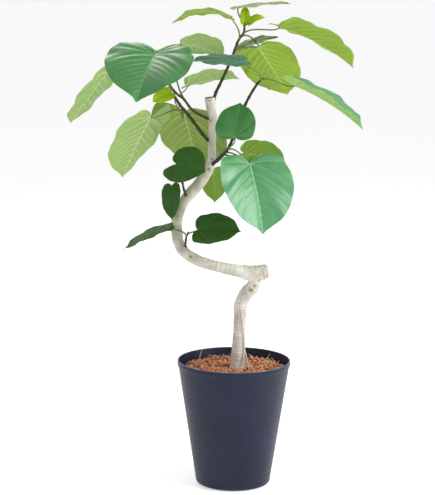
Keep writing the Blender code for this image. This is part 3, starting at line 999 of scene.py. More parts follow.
    def relief(self, u: np.ndarray, v: np.ndarray) -> np.ndarray:
        """Work out the soft swelling between the veins, which sinks to nothing on them.

        Args:
            u: Places along the midrib.
            v: Places across it.

        Returns:
            The height of the swelling at each place.
        """
        nearest = np.full(len(u), 1.0)
        for line, _ in self.veins:
            for start, end in zip(line[:-1], line[1:]):
                run = end - start
                share = (u - start[0]) * run[0] + (v - start[1]) * run[1]
                share = np.clip(share / max(run @ run, TINY_SQUARE), 0.0, 1.0)
                gap = np.hypot(u - start[0] - share * run[0], v - start[1] - share * run[1])
                nearest = np.minimum(nearest, gap)
        scale = self.leaf.length / self.usual_length
        swell = self.quilt * scale * (1.0 - np.exp(-((nearest / (self.quilt_reach * scale)) ** 2)))
        share, _ = self.polar(u, v)
        return swell * np.clip(self.quilt_edge - share**3, 0.0, 1.0)

    def add_to(self, shell: Shell, upper: int, under: int) -> None:
        """Add the blade's two sides and its rim to a mesh.

        Args:
            shell: The mesh.
            upper: Material number of the upper side.
            under: Material number of the underside.
        """
        even = np.linspace(0.0, self.run[-1], self.columns + 1)
        u = np.interp(even, self.run, self.outline_u)
        v = np.interp(even, self.run, self.outline_v)
        u = np.concatenate([u, u[-2:0:-1]])
        v = np.concatenate([v, -v[-2:0:-1]])
        count = len(u)
        shares = (np.arange(1, self.rings + 1) / self.rings) ** self.ring_power
        grid_u = np.concatenate([[0.0], np.outer(shares, u).ravel()])
        grid_v = np.concatenate([[0.0], np.outer(shares, v).ravel()])
        lift = self.relief(grid_u, grid_v) + self.wavy(grid_u, grid_v)
        thin = np.minimum(self.thin_start - self.thin_fall * shares, 1.0)
        thin = np.concatenate([[1.0], np.repeat(thin, count)])
        rise = 0.5 * self.thickness * thin
        top = self.place(grid_u, grid_v, lift + rise)
        bottom = self.place(grid_u, grid_v, lift - rise)
        pairs = [(k, (k + 1) % count) for k in range(count)]
        faces = [(0, 1 + k, 1 + after) for k, after in pairs]
        for ring in range(self.rings - 1):
            low, high = 1 + ring * count, 1 + (ring + 1) * count
            faces += [(low + k, high + k, high + after, low + after) for k, after in pairs]
        start = shell.count
        shell.add(top, faces, upper)
        shell.add(bottom, [face[::-1] for face in faces], under)
        edge = start + 1 + (self.rings - 1) * count
        other = edge + len(top)
        rim = [(edge + k, other + k, other + after, edge + after) for k, after in pairs]
        shell.faces += rim
        shell.looks += [under] * len(rim)

    def add_veins(self, shell: Shell, look: int) -> None:
        """Add the raised veins, low on the upper side and standing out below.

        Args:
            shell: The mesh.
            look: Their material number.
        """
        for line, width in self.veins:
            along = np.gradient(line, axis=0)
            along /= np.linalg.norm(along, axis=1, keepdims=True)
            side = np.column_stack([-along[:, 1], along[:, 0]])
            taper = width * np.linspace(1.0, self.vein_taper, len(line))[:, None]
            lift = self.wavy(line[:, 0], line[:, 1])
            corners = []
            for across, rise in self.vein_section:
                spot = line + side * taper * across
                height = lift + rise * taper[:, 0] + (self.vein_sink * self.thickness if rise > 0.0 else 0.0)
                corners.append(self.place(spot[:, 0], spot[:, 1], height))
            shell.add_tube(np.stack(corners, axis=1), look)


@dataclass
class Branch:
    """A shoot dressed: its woody stem, its petioles, its blades and their veins."""

    shoot: Shoot
    phases: tuple[float, ...]
    leaf_smooth: float = 70.0
    stem_sides: int = 14
    stem_steps: int = 16
    tip_run: float = 3.0
    tip_radius: float = 0.0004
    knuckle: float = 0.30
    knuckle_gap: float = 0.016
    knuckle_start: float = 0.4
    knuckle_place: float = 0.004
    knuckle_square: float = 2.0e-6
    petiole_sides: int = 10
    petiole_steps: int = 26
    petiole_root: float = 0.0018
    petiole_tip: float = 0.0012
    leave_run: float = 0.35
    meet_run: float = 0.30
    meet_along: float = 0.5
    meet_up: float = 0.8
    root_swell: float = 0.5
    root_swell_run: float = 0.06
    tip_swell: float = 0.25
    tip_swell_run: float = 0.05
    hidden_run: float = 0.05
    hidden_drop: float = 0.0004
    hidden_radius: float = 0.0008

    def stem(self, shell: Shell) -> np.ndarray:
        """Add the stem, with the knuckles that fallen leaves left on it.

        Args:
            shell: The mesh that takes it.

        Returns:
            The stem's smooth centre line.
        """
        line = smooth_line(self.shoot.line, self.stem_steps)
        run = np.concatenate([[0.0], np.cumsum(np.linalg.norm(np.diff(line[:, :3], axis=0), axis=1))])
        rings = line.copy()
        past = (run + self.knuckle_start * self.knuckle_gap) % self.knuckle_gap - self.knuckle_place
        rings[:, 3] *= 1.0 + self.knuckle * np.exp(-(past**2) / self.knuckle_square)
        tip = rings[-1].copy()
        tip[:3] += (rings[-1, :3] - rings[-2, :3]) * self.tip_run
        tip[3] = self.tip_radius
        shell.add_tube(tube_rings(np.vstack([rings, tip]), self.stem_sides), STEM_FACE)
        return line

    def petiole(self, blade: Blade, line: np.ndarray, shell: Shell) -> None:
        """Add a leaf's petiole, from inside its stem to the end of its blade's midrib.

        Args:
            blade: The leaf's blade.
            line: The stem's centre line.
            shell: The mesh that takes it.
        """
        leaf = blade.leaf
        place = leaf.at * (len(line) - 1)
        start = np.array([np.interp(place, np.arange(len(line)), line[:, k]) for k in range(3)])
        index = min(int(place), len(line) - 2)
        direction = line[index + 1, :3] - line[index, :3]
        direction /= np.linalg.norm(direction)
        along, _, up = blade.axes()
        end = np.array(leaf.base)
        span = np.linalg.norm(end - start)
        leave = direction + (end - start) / span
        leave /= np.linalg.norm(leave)
        near_start = start + self.leave_run * span * leave
        near_end = end - self.meet_run * span * (self.meet_along * along + self.meet_up * up)
        t = np.linspace(0.0, 1.0, self.petiole_steps + 1)[:, None]
        curve = (1 - t) ** 3 * start + 3 * (1 - t) ** 2 * t * near_start
        curve = curve + 3 * (1 - t) * t**2 * near_end + t**3 * end
        swell = 1.0 + self.root_swell * np.exp(-((t / self.root_swell_run) ** 2))
        swell = swell + self.tip_swell * np.exp(-(((1.0 - t) / self.tip_swell_run) ** 2))
        radius = (self.petiole_root + (self.petiole_tip - self.petiole_root) * t) * swell
        hidden = blade.place(np.array([self.hidden_run * leaf.length]), np.zeros(1), -self.hidden_drop)
        stations = np.vstack([np.hstack([curve, radius]), np.hstack([hidden, [[self.hidden_radius]]])])
        shell.add_tube(tube_rings(stations, self.petiole_sides), PETIOLE_FACE)

    def build(self) -> None:
        """Make the shoot's pieces, attach them to the body and hide the parts that they replace."""
        stems, blades, veins = Shell(), Shell(), Shell()
        line = self.stem(stems)
        looks: dict[str, int] = {}
        vein_looks: dict[str, int] = {}
        materials: list[bpy.types.Material] = []
        vein_materials: list[bpy.types.Material] = []
        for leaf, phase in zip(self.shoot.leaves, self.phases):
            blade = Blade(leaf, phase)
            upper, under, vein = leaf_finishes(leaf.tint)
            if upper.name not in looks:
                looks[upper.name] = len(materials)
                materials += [upper.material(), under.material()]
                vein_looks[upper.name] = len(vein_materials)
                vein_materials.append(vein.material())
            number = looks[upper.name]
            self.petiole(blade, line, stems)
            blade.add_to(blades, number, number + 1)
            blade.add_veins(veins, vein_looks[upper.name])
        name = self.shoot.name
        leafy = blades.build(f"{name}_blades", materials, self.leaf_smooth)
        ribs = veins.build(f"{name}_veins", vein_materials, self.leaf_smooth)
        wood = stems.build(f"{name}_stems", [TWIG.material(), PETIOLE.material()])
        for piece, slot in ((leafy, "foliage"), (ribs, "foliage"), (wood, "green_stem")):
            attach(piece, BODY)
        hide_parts(f"{name}_leaves")
        if self.shoot.bough:
            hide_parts(f"{name}_bough")
        log.info("%s: %d leaves", name, len(self.shoot.leaves))


@dataclass
class Trunk:
    """The trunk: its foot, the arm from the elbow up to the cut tip, and the aerial root.

    Marks are leaf scars and pruning cuts: x, y, z and radius.
    """

    sides: int = 48
    steps: int = 26
    grain: float = 0.00035
    furrows: int = 40
    furrow_calm: float = 5.0
    furrow_winds: tuple[int, int] = (2, 12)
    furrow_runs: tuple[float, float] = (20.0, 320.0)
    scars: float = 0.0007
    scar_gap: float = 0.013
    scar_gap_spread: tuple[float, float] = (0.6, 1.5)
    scar_tilt: float = 0.0012
    scar_fade: float = 0.35
    scar_width: float = 0.0012
    groove_place: float = 0.0026
    groove_width: float = 0.0010
    marks: tuple[tuple[float, float, float, float], ...] = (
        (0.011, -0.012, 0.392, 0.0050),
        (0.020, -0.016, 0.399, 0.0040),
        (0.034, -0.030, 0.424, 0.0062),
        (0.043, -0.038, 0.434, 0.0048),
        (0.050, -0.046, 0.451, 0.0050),
        (-0.092, -0.066, 0.500, 0.0042),
        (-0.105, -0.059, 0.503, 0.0034),
        (-0.127, -0.035, 0.560, 0.0028),
        (-0.055, 0.016, 0.672, 0.0052),
        (-0.049, 0.018, 0.694, 0.0040),
        (-0.052, 0.006, 0.776, 0.0032),
        (-0.055, -0.003, 0.818, 0.0036),
        (0.012, -0.014, 0.330, 0.0026),
    )
    mark_edge: tuple[float, float] = (0.35, 1.15)
    tip_reach: float = 0.01
    root_stations: int = 7
    root_steps: int = 9
    root_sides: int = 12
    root_radius: float = 0.0024
    root_thin: float = 0.45
    root_start: float = -105.0
    root_swing: float = 70.0
    rootlet_steps: int = 8
    rootlet_sides: int = 10
    rootlet_radius: float = 0.0013
    rootlet_top: float = 0.292
    rootlet_spread: float = 0.65
    rootlet_rise: float = 0.006
    rootlet_depth: float = 0.002
    rootlet_feet: tuple[tuple[float, float], ...] = ((0.0245, 0.002), (0.031, -0.010), (0.020, -0.017))

    def rough(self, line: np.ndarray, chance: np.random.Generator) -> np.ndarray:
        """Work out the bark, with furrows and ring scars pressed into it.

        Args:
            line: The centre line with its radii.
            chance: The random numbers to draw from.

        Returns:
            An array of rings, sides and coordinates.
        """
        rings = tube_rings(line, self.sides)
        run = np.concatenate([[0.0], np.cumsum(np.linalg.norm(np.diff(line[:, :3], axis=0), axis=1))])
        around = np.linspace(0.0, FULL_TURN, self.sides, endpoint=False)[None, :]
        height = np.zeros(rings.shape[:2])
        for _ in range(self.furrows):
            wind, stretch = chance.integers(*self.furrow_winds), chance.uniform(*self.furrow_runs)
            swing = wind * around + stretch * run[:, None]
            height += chance.normal() * np.sin(swing + chance.uniform(0.0, ANY_PHASE))
        height *= self.grain / self.furrow_calm
        place = 0.5 * self.scar_gap
        while place < run[-1]:
            tilt = chance.uniform(-self.scar_tilt, self.scar_tilt)
            reach = run[:, None] - place - tilt * np.sin(around + chance.uniform(0.0, ANY_PHASE))
            swing = self.scar_fade * np.sin(around + chance.uniform(0.0, ANY_PHASE))
            ridge = np.exp(-((reach / self.scar_width) ** 2))
            groove = np.exp(-(((reach - self.groove_place) / self.groove_width) ** 2))
            height += self.scars * (1.0 - self.scar_fade + swing) * (ridge - groove)
            place += self.scar_gap * chance.uniform(*self.scar_gap_spread)
        outward = rings - line[:, None, :3]
        outward /= np.linalg.norm(outward, axis=2, keepdims=True)
        return rings + outward * height[:, :, None]

    def aerial_root(self, shell: Shell) -> None:
        """Add the strand down the foot's front, and the rootlets that it splits into.

        Args:
            shell: The mesh that takes them.
        """
        line = smooth_line(FOOT_LINE[: self.root_stations], self.root_steps)
        line = line[line[:, 2] >= self.rootlet_top]
        share = np.linspace(1.0, 0.0, len(line))
        angle = np.radians(self.root_start + self.root_swing * share)
        reach = line[:, 3] + 0.5 * self.root_radius * share
        x, y = line[:, 0] + reach * np.cos(angle), line[:, 1] + reach * np.sin(angle)
        radii = self.root_radius * (self.root_thin + (1.0 - self.root_thin) * share)
        shell.add_tube(tube_rings(np.column_stack([x, y, line[:, 2], radii]), self.root_sides), BARK_FACE)
        top_x, top_y, top_z = x[0], y[0], line[0, 2]
        far, near = self.rootlet_spread, 1.0 - self.rootlet_spread
        for foot_x, foot_y in self.rootlet_feet:
            spots = (
                (top_x, top_y, top_z + self.root_radius),
                (near * top_x + far * foot_x, near * top_y + far * foot_y, 0.5 * (top_z + SOIL_LEVEL)),
                (foot_x, foot_y, SOIL_LEVEL + self.rootlet_rise),
                (foot_x, foot_y, SOIL_LEVEL - self.rootlet_depth),
            )
            line = smooth_line([(*spot, self.rootlet_radius) for spot in spots], self.rootlet_steps)
            shell.add_tube(tube_rings(line, self.rootlet_sides), BARK_FACE)

    def build(self) -> None:
        """Make the trunk's mesh, attach it to the body and hide the parts that it replaces."""
        chance = np.random.default_rng(SEED)
        shell = Shell()
        for stations in (FOOT_LINE, TRUNK_LINE):
            shell.add_tube(self.rough(smooth_line(stations, self.steps), chance), BARK_FACE)
        self.aerial_root(shell)
        piece = shell.build("trunk_bark", [BARK.material(), CUT.material(), BARK_SCAR.material()])
        spots = np.array(self.marks)
        tip = np.array(TRUNK_LINE[-1][:3])
        for face in piece.data.polygons:
            middle = np.array(face.center)
            gaps = np.linalg.norm(spots[:, :3] - middle, axis=1)
            if (gaps < spots[:, 3] * chance.uniform(*self.mark_edge, len(spots))).any():
                face.material_index = SCAR_FACE
            if len(face.vertices) == self.sides and np.linalg.norm(middle - tip) < self.tip_reach:
                face.material_index = CUT_FACE
        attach(piece, BODY)
        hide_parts("trunk_foot", "trunk_arm", "trunk_bend", "trunk_rise", "trunk_top")
        log.info("trunk: %d faces", len(piece.data.polygons))


@dataclass
class Pot:
    """The nursery pot: a tapered wall with faint moulded ridges, a low lip with a painted highlight along its
    top, and drain holes.
    """

    height: float = 0.268
    rim_radius: float = 0.120
    neck_radius: float = 0.1182
    foot_radius: float = 0.080
    foot_round: float = 0.008
    foot_steps: int = 7
    lip_height: float = 0.012
    lip_tuck: float = 0.0004
    lip_rises: tuple[float, float] = (0.0012, 0.0024)
    lip_round: float = 0.0022
    lip_steps: int = 9
    wall: float = 0.003
    wall_start: float = 0.004
    wall_end: float = 0.0015
    wall_points: int = 110
    inside_top: float = 0.006
    inside_foot: float = 0.004
    inside_points: int = 24
    floor: float = 0.004
    floor_round: float = 0.003
    segments: int = 96
    smooth: float = 35.0
    ridge_gap: float = 0.012
    ridge: float = 0.00040
    holes: int = 6
    hole_sides: int = 24
    hole_radius: float = 0.006
    hole_circle: float = 0.050
    # How far down from the top the rim's painted highlight reaches
    rim_highlight_band: float = 0.0016

    def outer_radius(self, height: np.ndarray | float) -> np.ndarray | float:
        """Work out the radius of the straight wall.

        Args:
            height: One height or more above the floor that the pot stands on.

        Returns:
            The radius at each height.
        """
        slope = (self.neck_radius - self.foot_radius) / (self.height - self.lip_height - self.foot_round)
        return self.foot_radius + slope * (height - self.foot_round)

    def profile(self) -> list[tuple[float, float]]:
        """Draw the pot's half section.

        Returns:
            Radii and heights, from the middle of its underside to the middle of its floor.
        """
        turn = np.linspace(0.0, 0.5 * math.pi, self.foot_steps)
        foot_x = self.foot_radius - self.foot_round * (1.0 - np.sin(turn))
        points = [(0.0, 0.0), (0.5 * self.foot_radius, 0.0)]
        points += list(zip(foot_x, self.foot_round * (1.0 - np.cos(turn))))
        lip_foot = self.height - self.lip_height
        wall = np.linspace(self.foot_round + self.wall_start, lip_foot - self.wall_end, self.wall_points)
        ripple = 0.5 * np.cos(FULL_TURN * wall / self.ridge_gap) - 0.5
        points += list(zip(self.outer_radius(wall) + self.ridge * ripple, wall))
        edge, (low, high) = self.rim_radius, self.lip_rises
        points.append((self.neck_radius, lip_foot))
        points += [(edge - self.lip_tuck, lip_foot + low), (edge, lip_foot + high)]
        turn = np.linspace(0.0, math.pi, self.lip_steps)
        inner = self.outer_radius(self.height) - self.wall
        middle, half = 0.5 * (edge + inner), 0.5 * (edge - inner)
        lip_z = self.height - self.lip_round + self.lip_round * np.sin(turn)
        points += list(zip(middle + half * np.cos(turn), lip_z))
        inside = np.linspace(self.height - self.inside_top, self.floor + self.inside_foot, self.inside_points)
        points += list(zip(self.outer_radius(inside) - self.wall, inside))
        floor_radius = self.outer_radius(self.floor) - self.wall - self.floor_round
        points += [(floor_radius, self.floor), (0.0, self.floor)]
        return [(float(x), float(z)) for x, z in points]

    def build(self) -> None:
        """Make the pot's mesh, drill its floor, attach it to the body and hide the part that it replaces."""
        shell = Shell()
        turned(shell, self.profile(), self.segments)
        pot = shell.build("pot_shell", [PLASTIC.material(), RIM_HIGHLIGHT.material()], self.smooth)
        # Faces at the top of the rim take the painted highlight
        for face in pot.data.polygons:
            if face.center.z > self.height - self.rim_highlight_band:
                face.material_index = RIM_HIGHLIGHT_FACE
        drills = Shell()
        for k in range(self.holes):
            angle = FULL_TURN * k / self.holes
            x, y = self.hole_circle * math.cos(angle), self.hole_circle * math.sin(angle)
            line = np.array([(x, y, z, self.hole_radius) for z in (-self.floor, 2.0 * self.floor)])
            drills.add_tube(tube_rings(line, self.hole_sides))
        cutter = drills.build("pot_drills", [PLASTIC.material()])
        boolean = pot.modifiers.new("Holes", "BOOLEAN")
        boolean.operation, boolean.object, boolean.solver = "DIFFERENCE", cutter, "EXACT"
        settle(pot)
        bpy.data.objects.remove(cutter)
        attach(pot, BODY)
        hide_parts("pot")
        log.info("pot: %d faces", len(pot.data.polygons))


def turned(shell: Shell, profile: Sequence[tuple[float, float]], segments: int) -> None:
    """Add a profile of (radius, height) turned about Z, which starts and ends on the axis.

    Args:
        shell: The mesh that takes it.
        profile: The half section.
        segments: Steps round the axis.
    """
    angles = np.linspace(0.0, FULL_TURN, segments, endpoint=False)
    points = [(0.0, 0.0, profile[0][1])]
    for radius, height in profile[1:-1]:
        points += [(radius * math.cos(a), radius * math.sin(a), height) for a in angles]
    points.append((0.0, 0.0, profile[-1][1]))
    faces = []
    for k in range(segments):
        after = (k + 1) % segments
        faces.append((0, 1 + after, 1 + k))
        for ring in range(len(profile) - 3):
            low, high = 1 + ring * segments, 1 + (ring + 1) * segments
            faces.append((low + k, low + after, high + after, high + k))
        last = 1 + (len(profile) - 3) * segments
        faces.append((last + k, last + after, len(points) - 1))
    shell.add(np.array(points), faces, WALL_FACE)


def settle(thing: bpy.types.Object) -> None:
    """Replace an object's mesh with the mesh that its modifiers make, and clear them.

    Args:
        thing: The object.
    """
    bpy.context.view_layer.update()
    graph = bpy.context.evaluated_depsgraph_get()
    made = bpy.data.meshes.new_from_object(thing.evaluated_get(graph), depsgraph=graph)
    made.name = thing.name
    thing.modifiers.clear()
    thing.data = made


@dataclass(frozen=True)
class Litter:
    """One kind of husk litter: its piece, its finish, and how it is strewn.

    Density counts spots in a square metre and gap is the least space between them. Smallest and
    largest scale the length, and tilt is the most that a bit leans, in radians.
    """

    piece: str
    finish: Finish
    length: float
    density: float
    gap: float
    smallest: float
    largest: float
    tilt: float
    fibre: bool = False


@dataclass
class Soil:
    """The soil: a lumpy fill, and husk chips and fibres strewn over it by a node tree."""

    pot: Pot
    clear: float = 0.0005
    floor_gap: float = 0.003
    fill_rings: int = 24
    fill_segments: int = 72
    lump: float = 0.0025
    lump_spread: tuple[float, float] = (-1.0, 0.4)
    lump_edge: float = 0.001
    reach: float = 0.104
    trunk_clear: float = 0.014
    bed_segments: int = 48
    litter_smooth: float = 30.0
    chip_breadth: tuple[float, float] = (0.42, 0.66)
    chip_height: tuple[float, float] = (0.24, 0.40)
    chip_planes: int = 7
    chip_cut: float = 0.72
    chip_rough: float = 0.012
    fibre_sides: int = 3
    fibre_radius: float = 0.0005
    fibre_middle: float = 1.15
    fibre_thin: float = 1.6
    fibre_bend: float = 1.3
    fibre_points: int = 8
    fibre_lift: float = 0.0055
    fibre_wave: float = 0.0026
    fibre_swing: float = 6.0
    fibre_phase: float = 6.28
    litters: tuple[Litter, ...] = (
        Litter("husk_tan", HUSK_TAN, 0.0125, 36000.0, 0.0072, 0.4, 1.75, 0.9),
        Litter("husk_red", HUSK_RED, 0.0120, 36000.0, 0.0072, 0.4, 1.70, 0.9),
        Litter("husk_dark", HUSK_DARK, 0.0115, 30000.0, 0.0080, 0.4, 1.50, 0.9),
        Litter("husk_fibres", FIBRE, 0.0220, 16000.0, 0.0050, 0.4, 1.20, 0.5, True),
    )
    stray_roots: tuple[tuple[float, float, float], ...] = (
        (-0.0698, 0.030, 0.036),
        (0.0744, 0.030, 0.026),
    )
    root_bends: tuple[Station, ...] = (
        (-0.003, 0.0, 0.35, 0.0008),
        (-0.001, 0.002, 0.75, 0.0006),
        (0.004, 0.003, 1.0, 0.0003),
    )
    root_depth: float = 0.004
    root_foot: float = 0.0009
    root_steps: int = 8
    root_sides: int = 8

    def fill(self) -> bpy.types.Object:
        """Make the fill: a turned solid with a lumpy top, which stays inside the pot.

        Returns:
            The fill's object.
        """
        inside = float(self.pot.outer_radius(SOIL_LEVEL)) - self.pot.wall - self.clear
        floor = self.pot.floor + self.clear
        bottom = float(self.pot.outer_radius(floor)) - self.pot.wall - self.clear - self.floor_gap
        profile = [(0.0, floor), (bottom, floor), (inside, SOIL_LEVEL)]
        profile += [(inside * (1.0 - k / self.fill_rings), SOIL_LEVEL) for k in range(1, self.fill_rings)]
        profile.append((0.0, SOIL_LEVEL))
        shell = Shell()
        turned(shell, profile, self.fill_segments)
        points = shell.points[0]
        chance = np.random.default_rng(SEED)
        free = np.hypot(points[:, 0], points[:, 1]) < inside - self.lump_edge
        loose = (points[:, 2] > SOIL_LEVEL - TINY) & free
        points[loose, 2] += self.lump * chance.uniform(*self.lump_spread, int(loose.sum()))
        return shell.build("soil_fill", [SOIL.material()])

    def chip(self, litter: Litter, seed: int) -> bpy.types.Object:
        """Make one husk chip, a rough, flattened chunk.

        Args:
            litter: The kind of litter.
            seed: The seed of its shape.

        Returns:
            The chip's object, centred on the origin.
        """
        chance = np.random.default_rng(seed)
        surface = bmesh.new()
        bmesh.ops.create_icosphere(surface, subdivisions=2, radius=1.0)
        shares = (1.0, chance.uniform(*self.chip_breadth), chance.uniform(*self.chip_height))
        size = 0.5 * litter.length * np.array(shares)
        planes = chance.normal(size=(self.chip_planes, 3))
        planes /= np.linalg.norm(planes, axis=1, keepdims=True)
        for vertex in surface.verts:
            spot = np.array(vertex.co)
            for plane in planes:
                spot -= max(spot @ plane - self.chip_cut, 0.0) * plane
            vertex.co = spot * size + chance.normal(size=3) * self.chip_rough * litter.length
        mesh = bpy.data.meshes.new(f"{litter.piece}_shape")
        surface.to_mesh(mesh)
        surface.free()
        return bpy.data.objects.new(mesh.name, mesh)

    def strand(self, litter: Litter, seed: int) -> bpy.types.Object:
        """Make one husk fibre, a thin curl that stands a little off the chips.

        Args:
            litter: The kind of litter.
            seed: The seed of its shape.

        Returns:
            The fibre's object, centred on the origin.
        """
        chance = np.random.default_rng(seed)
        t = np.linspace(-0.5, 0.5, self.fibre_points)
        turn = self.fibre_bend * 2.0 * t
        step = litter.length / self.fibre_points
        x, y = step * np.cumsum(np.cos(turn)), step * np.cumsum(np.sin(turn))
        phase = chance.uniform(0.0, self.fibre_phase)
        z = self.fibre_lift + self.fibre_wave * np.cos(self.fibre_swing * t + phase)
        radii = self.fibre_radius * (self.fibre_middle - self.fibre_thin * np.abs(t))
        line = np.column_stack([x - x.mean(), y - y.mean(), z, radii])
        shell = Shell()
        shell.add_tube(tube_rings(line, self.fibre_sides))
        made = shell.build(f"{litter.piece}_shape", [])
        bpy.context.scene.collection.objects.unlink(made)
        return made

    def strew_tree(self) -> bpy.types.NodeTree:
        """Build the node tree that strews a shape over a surface, once.

        Returns:
            The tree. It takes the surface, the shape, its finish, the spacing, the sizes, the tilt
            and the seed.
        """
        tree = bpy.data.node_groups.get("Strew")
        if tree is not None:
            return tree
        tree = bpy.data.node_groups.new("Strew", "GeometryNodeTree")
        face = tree.interface
        for name, kind in (
            ("Geometry", "Geometry"),
            ("Shape", "Object"),
            ("Finish", "Material"),
            ("Density", "Float"),
            ("Gap", "Float"),
            ("Smallest", "Float"),
            ("Largest", "Float"),
            ("Tilt", "Float"),
            ("Seed", "Int"),
        ):
            face.new_socket(name, in_out="INPUT", socket_type=f"NodeSocket{kind}")
        face.new_socket("Geometry", in_out="OUTPUT", socket_type="NodeSocketGeometry")
        make = Nodes(tree)
        given = make.add("NodeGroupInput").outputs
        spots = make.add(
            "GeometryNodeDistributePointsOnFaces",
            {
                "Mesh": given["Geometry"],
                "Distance Min": given["Gap"],
                "Density Max": given["Density"],
                "Seed": given["Seed"],
            },
            distribute_method="POISSON",
        )
        back = make.add("ShaderNodeMath", {0: given["Tilt"], 1: -1.0}, operation="MULTIPLY")
        least = make.add("ShaderNodeCombineXYZ", {0: back.outputs[0], 1: back.outputs[0], 2: 0.0})
        most = make.add("ShaderNodeCombineXYZ", {0: given["Tilt"], 1: given["Tilt"], 2: FULL_TURN})
        turn = make.add(
            "FunctionNodeRandomValue",
            {0: least.outputs[0], 1: most.outputs[0], "Seed": given["Seed"]},
            data_type="FLOAT_VECTOR",
        )
        size = make.add(
            "FunctionNodeRandomValue",
            {2: given["Smallest"], 3: given["Largest"], "Seed": given["Seed"]},
            data_type="FLOAT",
        )
        shape = make.add("GeometryNodeObjectInfo", {"Object": given["Shape"]})
        placed = make.add(
            "GeometryNodeInstanceOnPoints",
            {
                "Points": spots.outputs["Points"],
                "Instance": shape.outputs["Geometry"],
                "Rotation": turn.outputs[0],
                "Scale": size.outputs[1],
            },
        )
        real = make.add("GeometryNodeRealizeInstances", {"Geometry": placed.outputs[0]})
        look = {"Geometry": real.outputs[0], "Material": given["Finish"]}
        dressed = make.add("GeometryNodeSetMaterial", look)
        make.add("NodeGroupOutput", {"Geometry": dressed.outputs[0]})
        return tree

    def strew(self, litter: Litter, seed: int) -> bpy.types.Object:
        """Make one kind of litter, as one mesh over the soil.

        Args:
            litter: The kind of litter.
            seed: The seed of its shape and places.

        Returns:
            The litter's object.
        """
        count = self.bed_segments
        angles = np.linspace(0.0, FULL_TURN, count, endpoint=False)
        circle = np.column_stack([np.cos(angles), np.sin(angles), np.zeros(count)])
        inner = circle * self.trunk_clear + (FOOT_LINE[0][0], 0.0, SOIL_LEVEL + self.clear)
        outer = circle * self.reach + (0.0, 0.0, SOIL_LEVEL + self.clear)
        ring = Shell()
        ring.add(
            np.vstack([inner, outer]),
            [(k, count + k, count + (k + 1) % count, (k + 1) % count) for k in range(count)],
        )
        bed = ring.build(litter.piece, [litter.finish.material()])
        shape = self.strand(litter, seed) if litter.fibre else self.chip(litter, seed)
        values = {
            "Shape": shape,
            "Finish": litter.finish.material(),
            "Density": litter.density,
            "Gap": litter.gap,
            "Smallest": litter.smallest,
            "Largest": litter.largest,
            "Tilt": litter.tilt,
            "Seed": seed,
        }
        strew = bed.modifiers.new("Strew", "NODES")
        strew.node_group = self.strew_tree()
        for item in strew.node_group.interface.items_tree:
            if item.item_type == "SOCKET" and item.in_out == "INPUT" and item.name in values:
                strew[item.identifier] = values[item.name]
        settle(bed)
        bpy.data.objects.remove(shape)
        bed.data.shade_smooth()
        bed.data.set_sharp_from_angle(angle=math.radians(self.litter_smooth))
        return bed

    def roots(self) -> bpy.types.Object:
        """Make the thin pale roots that stand up from the soil.

        Returns:
            The roots' object.
        """
        shell = Shell()
        for x, y, rise in self.stray_roots:
            stations = [(x, y, SOIL_LEVEL - self.root_depth, self.root_foot)]
            for aside, back, share, radius in self.root_bends:
                stations.append((x + aside, y + back, SOIL_LEVEL + share * rise, radius))
            shell.add_tube(tube_rings(smooth_line(stations, self.root_steps), self.root_sides))
        return shell.build("stray_roots", [BARK.material()])

    def build(self) -> None:
        """Make the soil's pieces, attach them to the body and hide the part that they replace."""
        fill = self.fill()
        pieces = [fill, self.roots()]
        pieces += [self.strew(litter, SEED + number) for number, litter in enumerate(self.litters)]
        for piece in pieces:
            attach(piece, BODY)
            log.info("%s: %d faces", piece.name, len(piece.data.polygons))
        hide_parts("soil")


PALE_FLOOR = Finish(
    "pale_floor",
    (0.86, 0.86, 0.86),
    (0.84, 0.84, 0.84),
    patch_scale=2.0,
    patch_amount=0.3,
    grain_scale=60.0,
    relief=0.0,
    roughness=0.75,
    roughness_spread=0.02,
    specular=0.2,
)


@dataclass(frozen=True)
class Lamp:
    """One square area light: its name, its place, its side and its power in watts."""

    name: str
    place: tuple[float, float, float]
    side: float
    power: float


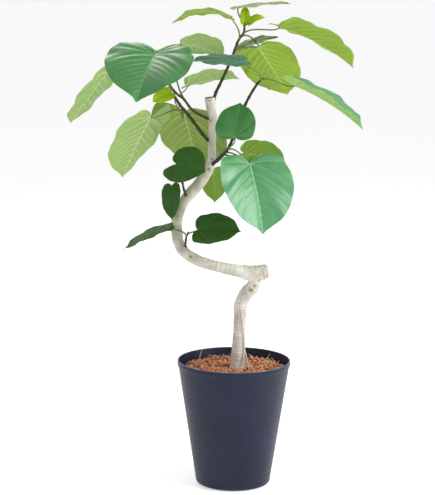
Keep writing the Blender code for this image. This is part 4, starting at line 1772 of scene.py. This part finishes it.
@dataclass
class Studio:
    """The pale floor, the soft lights and the camera, whose angles are in radians."""

    camera_place: tuple[float, float, float] = (-0.0366, -3.6, 1.126)
    camera_dip: float = 0.1697
    camera_roll: float = 0.0076
    lens: float = 126.2
    sensor: float = 36.0
    floor_size: float = 300.0
    floor_drop: float = 0.0005
    floor_glow: float = 0.44
    world_light: float = 0.58
    world_seen: float = 1.0
    aim: tuple[float, float, float] = (0.0, 0.0, 0.55)
    lamps: tuple[Lamp, ...] = (
        Lamp("key", (2.6, -1.0, 2.2), side=2.0, power=92.0),
        Lamp("fill", (-2.2, -2.4, 2.0), side=2.0, power=8.0),
        Lamp("back", (-0.8, 2.6, 2.6), side=1.8, power=34.0),
    )

    def light(self, lamp: Lamp) -> None:
        """Add a square area light that faces the plant.

        Args:
            lamp: The light.
        """
        made = bpy.data.lights.new(lamp.name, "AREA")
        made.size, made.energy = lamp.side, lamp.power
        thing = bpy.data.objects.new(lamp.name, made)
        thing.location = lamp.place
        aim = np.array(self.aim) - np.array(lamp.place)
        pitch = math.atan2(math.hypot(aim[0], aim[1]), -aim[2])
        thing.rotation_euler = (pitch, 0.0, math.atan2(aim[1], aim[0]) - 0.5 * math.pi)
        bpy.context.scene.collection.objects.link(thing)

    def floor(self) -> None:
        """Make the pale floor just under the pot, and give it a faint glow."""
        half = 0.5 * self.floor_size
        corners = [(-half, -half), (half, -half), (half, half), (-half, half)]
        shell = Shell()
        shell.add(np.array([(x, y, -self.floor_drop) for x, y in corners]), [(0, 1, 2, 3)])
        floor = shell.build("floor", [PALE_FLOOR.material()])
        glow = floor.data.materials[0].node_tree.nodes["Principled BSDF"]
        glow.inputs["Emission Color"].default_value = WHITE
        glow.inputs["Emission Strength"].default_value = self.floor_glow

    def world(self) -> None:
        """Make the white world, which lights the plant less than it shows."""
        world = bpy.data.worlds.new("studio")
        world.use_nodes = True
        sky = world.node_tree.nodes["Background"]
        sky.inputs["Color"].default_value = WHITE
        make = Nodes(world.node_tree)
        seen = make.add("ShaderNodeLightPath").outputs["Is Camera Ray"]
        strength = make.add(
            "ShaderNodeMapRange", {"Value": seen, "To Min": self.world_light, "To Max": self.world_seen}
        )
        world.node_tree.links.new(strength.outputs[0], sky.inputs["Strength"])
        bpy.context.scene.world = world

    def camera(self) -> None:
        """Make the camera at the photograph's own place."""
        lens = bpy.data.cameras.new("camera")
        lens.lens, lens.sensor_width = self.lens, self.sensor
        thing = bpy.data.objects.new("camera", lens)
        dip = Matrix.Rotation(0.5 * math.pi - self.camera_dip, 4, "X")
        roll = Matrix.Rotation(self.camera_roll, 4, "Z")
        thing.matrix_world = Matrix.Translation(self.camera_place) @ dip @ roll
        bpy.context.scene.collection.objects.link(thing)
        bpy.context.scene.camera = thing

    def build(self) -> None:
        """Make the floor, the world, the lights and the camera."""
        self.floor()
        self.world()
        bpy.context.scene.view_settings.view_transform = "Standard"
        for lamp in self.lamps:
            self.light(lamp)
        self.camera()
        log.info("studio: %d lights", len(self.lamps))


def main() -> None:
    """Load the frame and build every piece."""
    logging.basicConfig(level=logging.INFO, format="%(name)s: %(message)s")
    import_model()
    Studio().build()
    pot = Pot()
    pot.build()
    Soil(pot).build()
    Trunk().build()
    chance = np.random.default_rng(SEED)
    for shoot in SHOOTS:
        phases = tuple(chance.uniform(0.0, FULL_TURN) for _ in shoot.leaves)
        Branch(shoot, phases).build()
    bpy.context.view_layer.update()


if __name__ == "__main__":
    main()
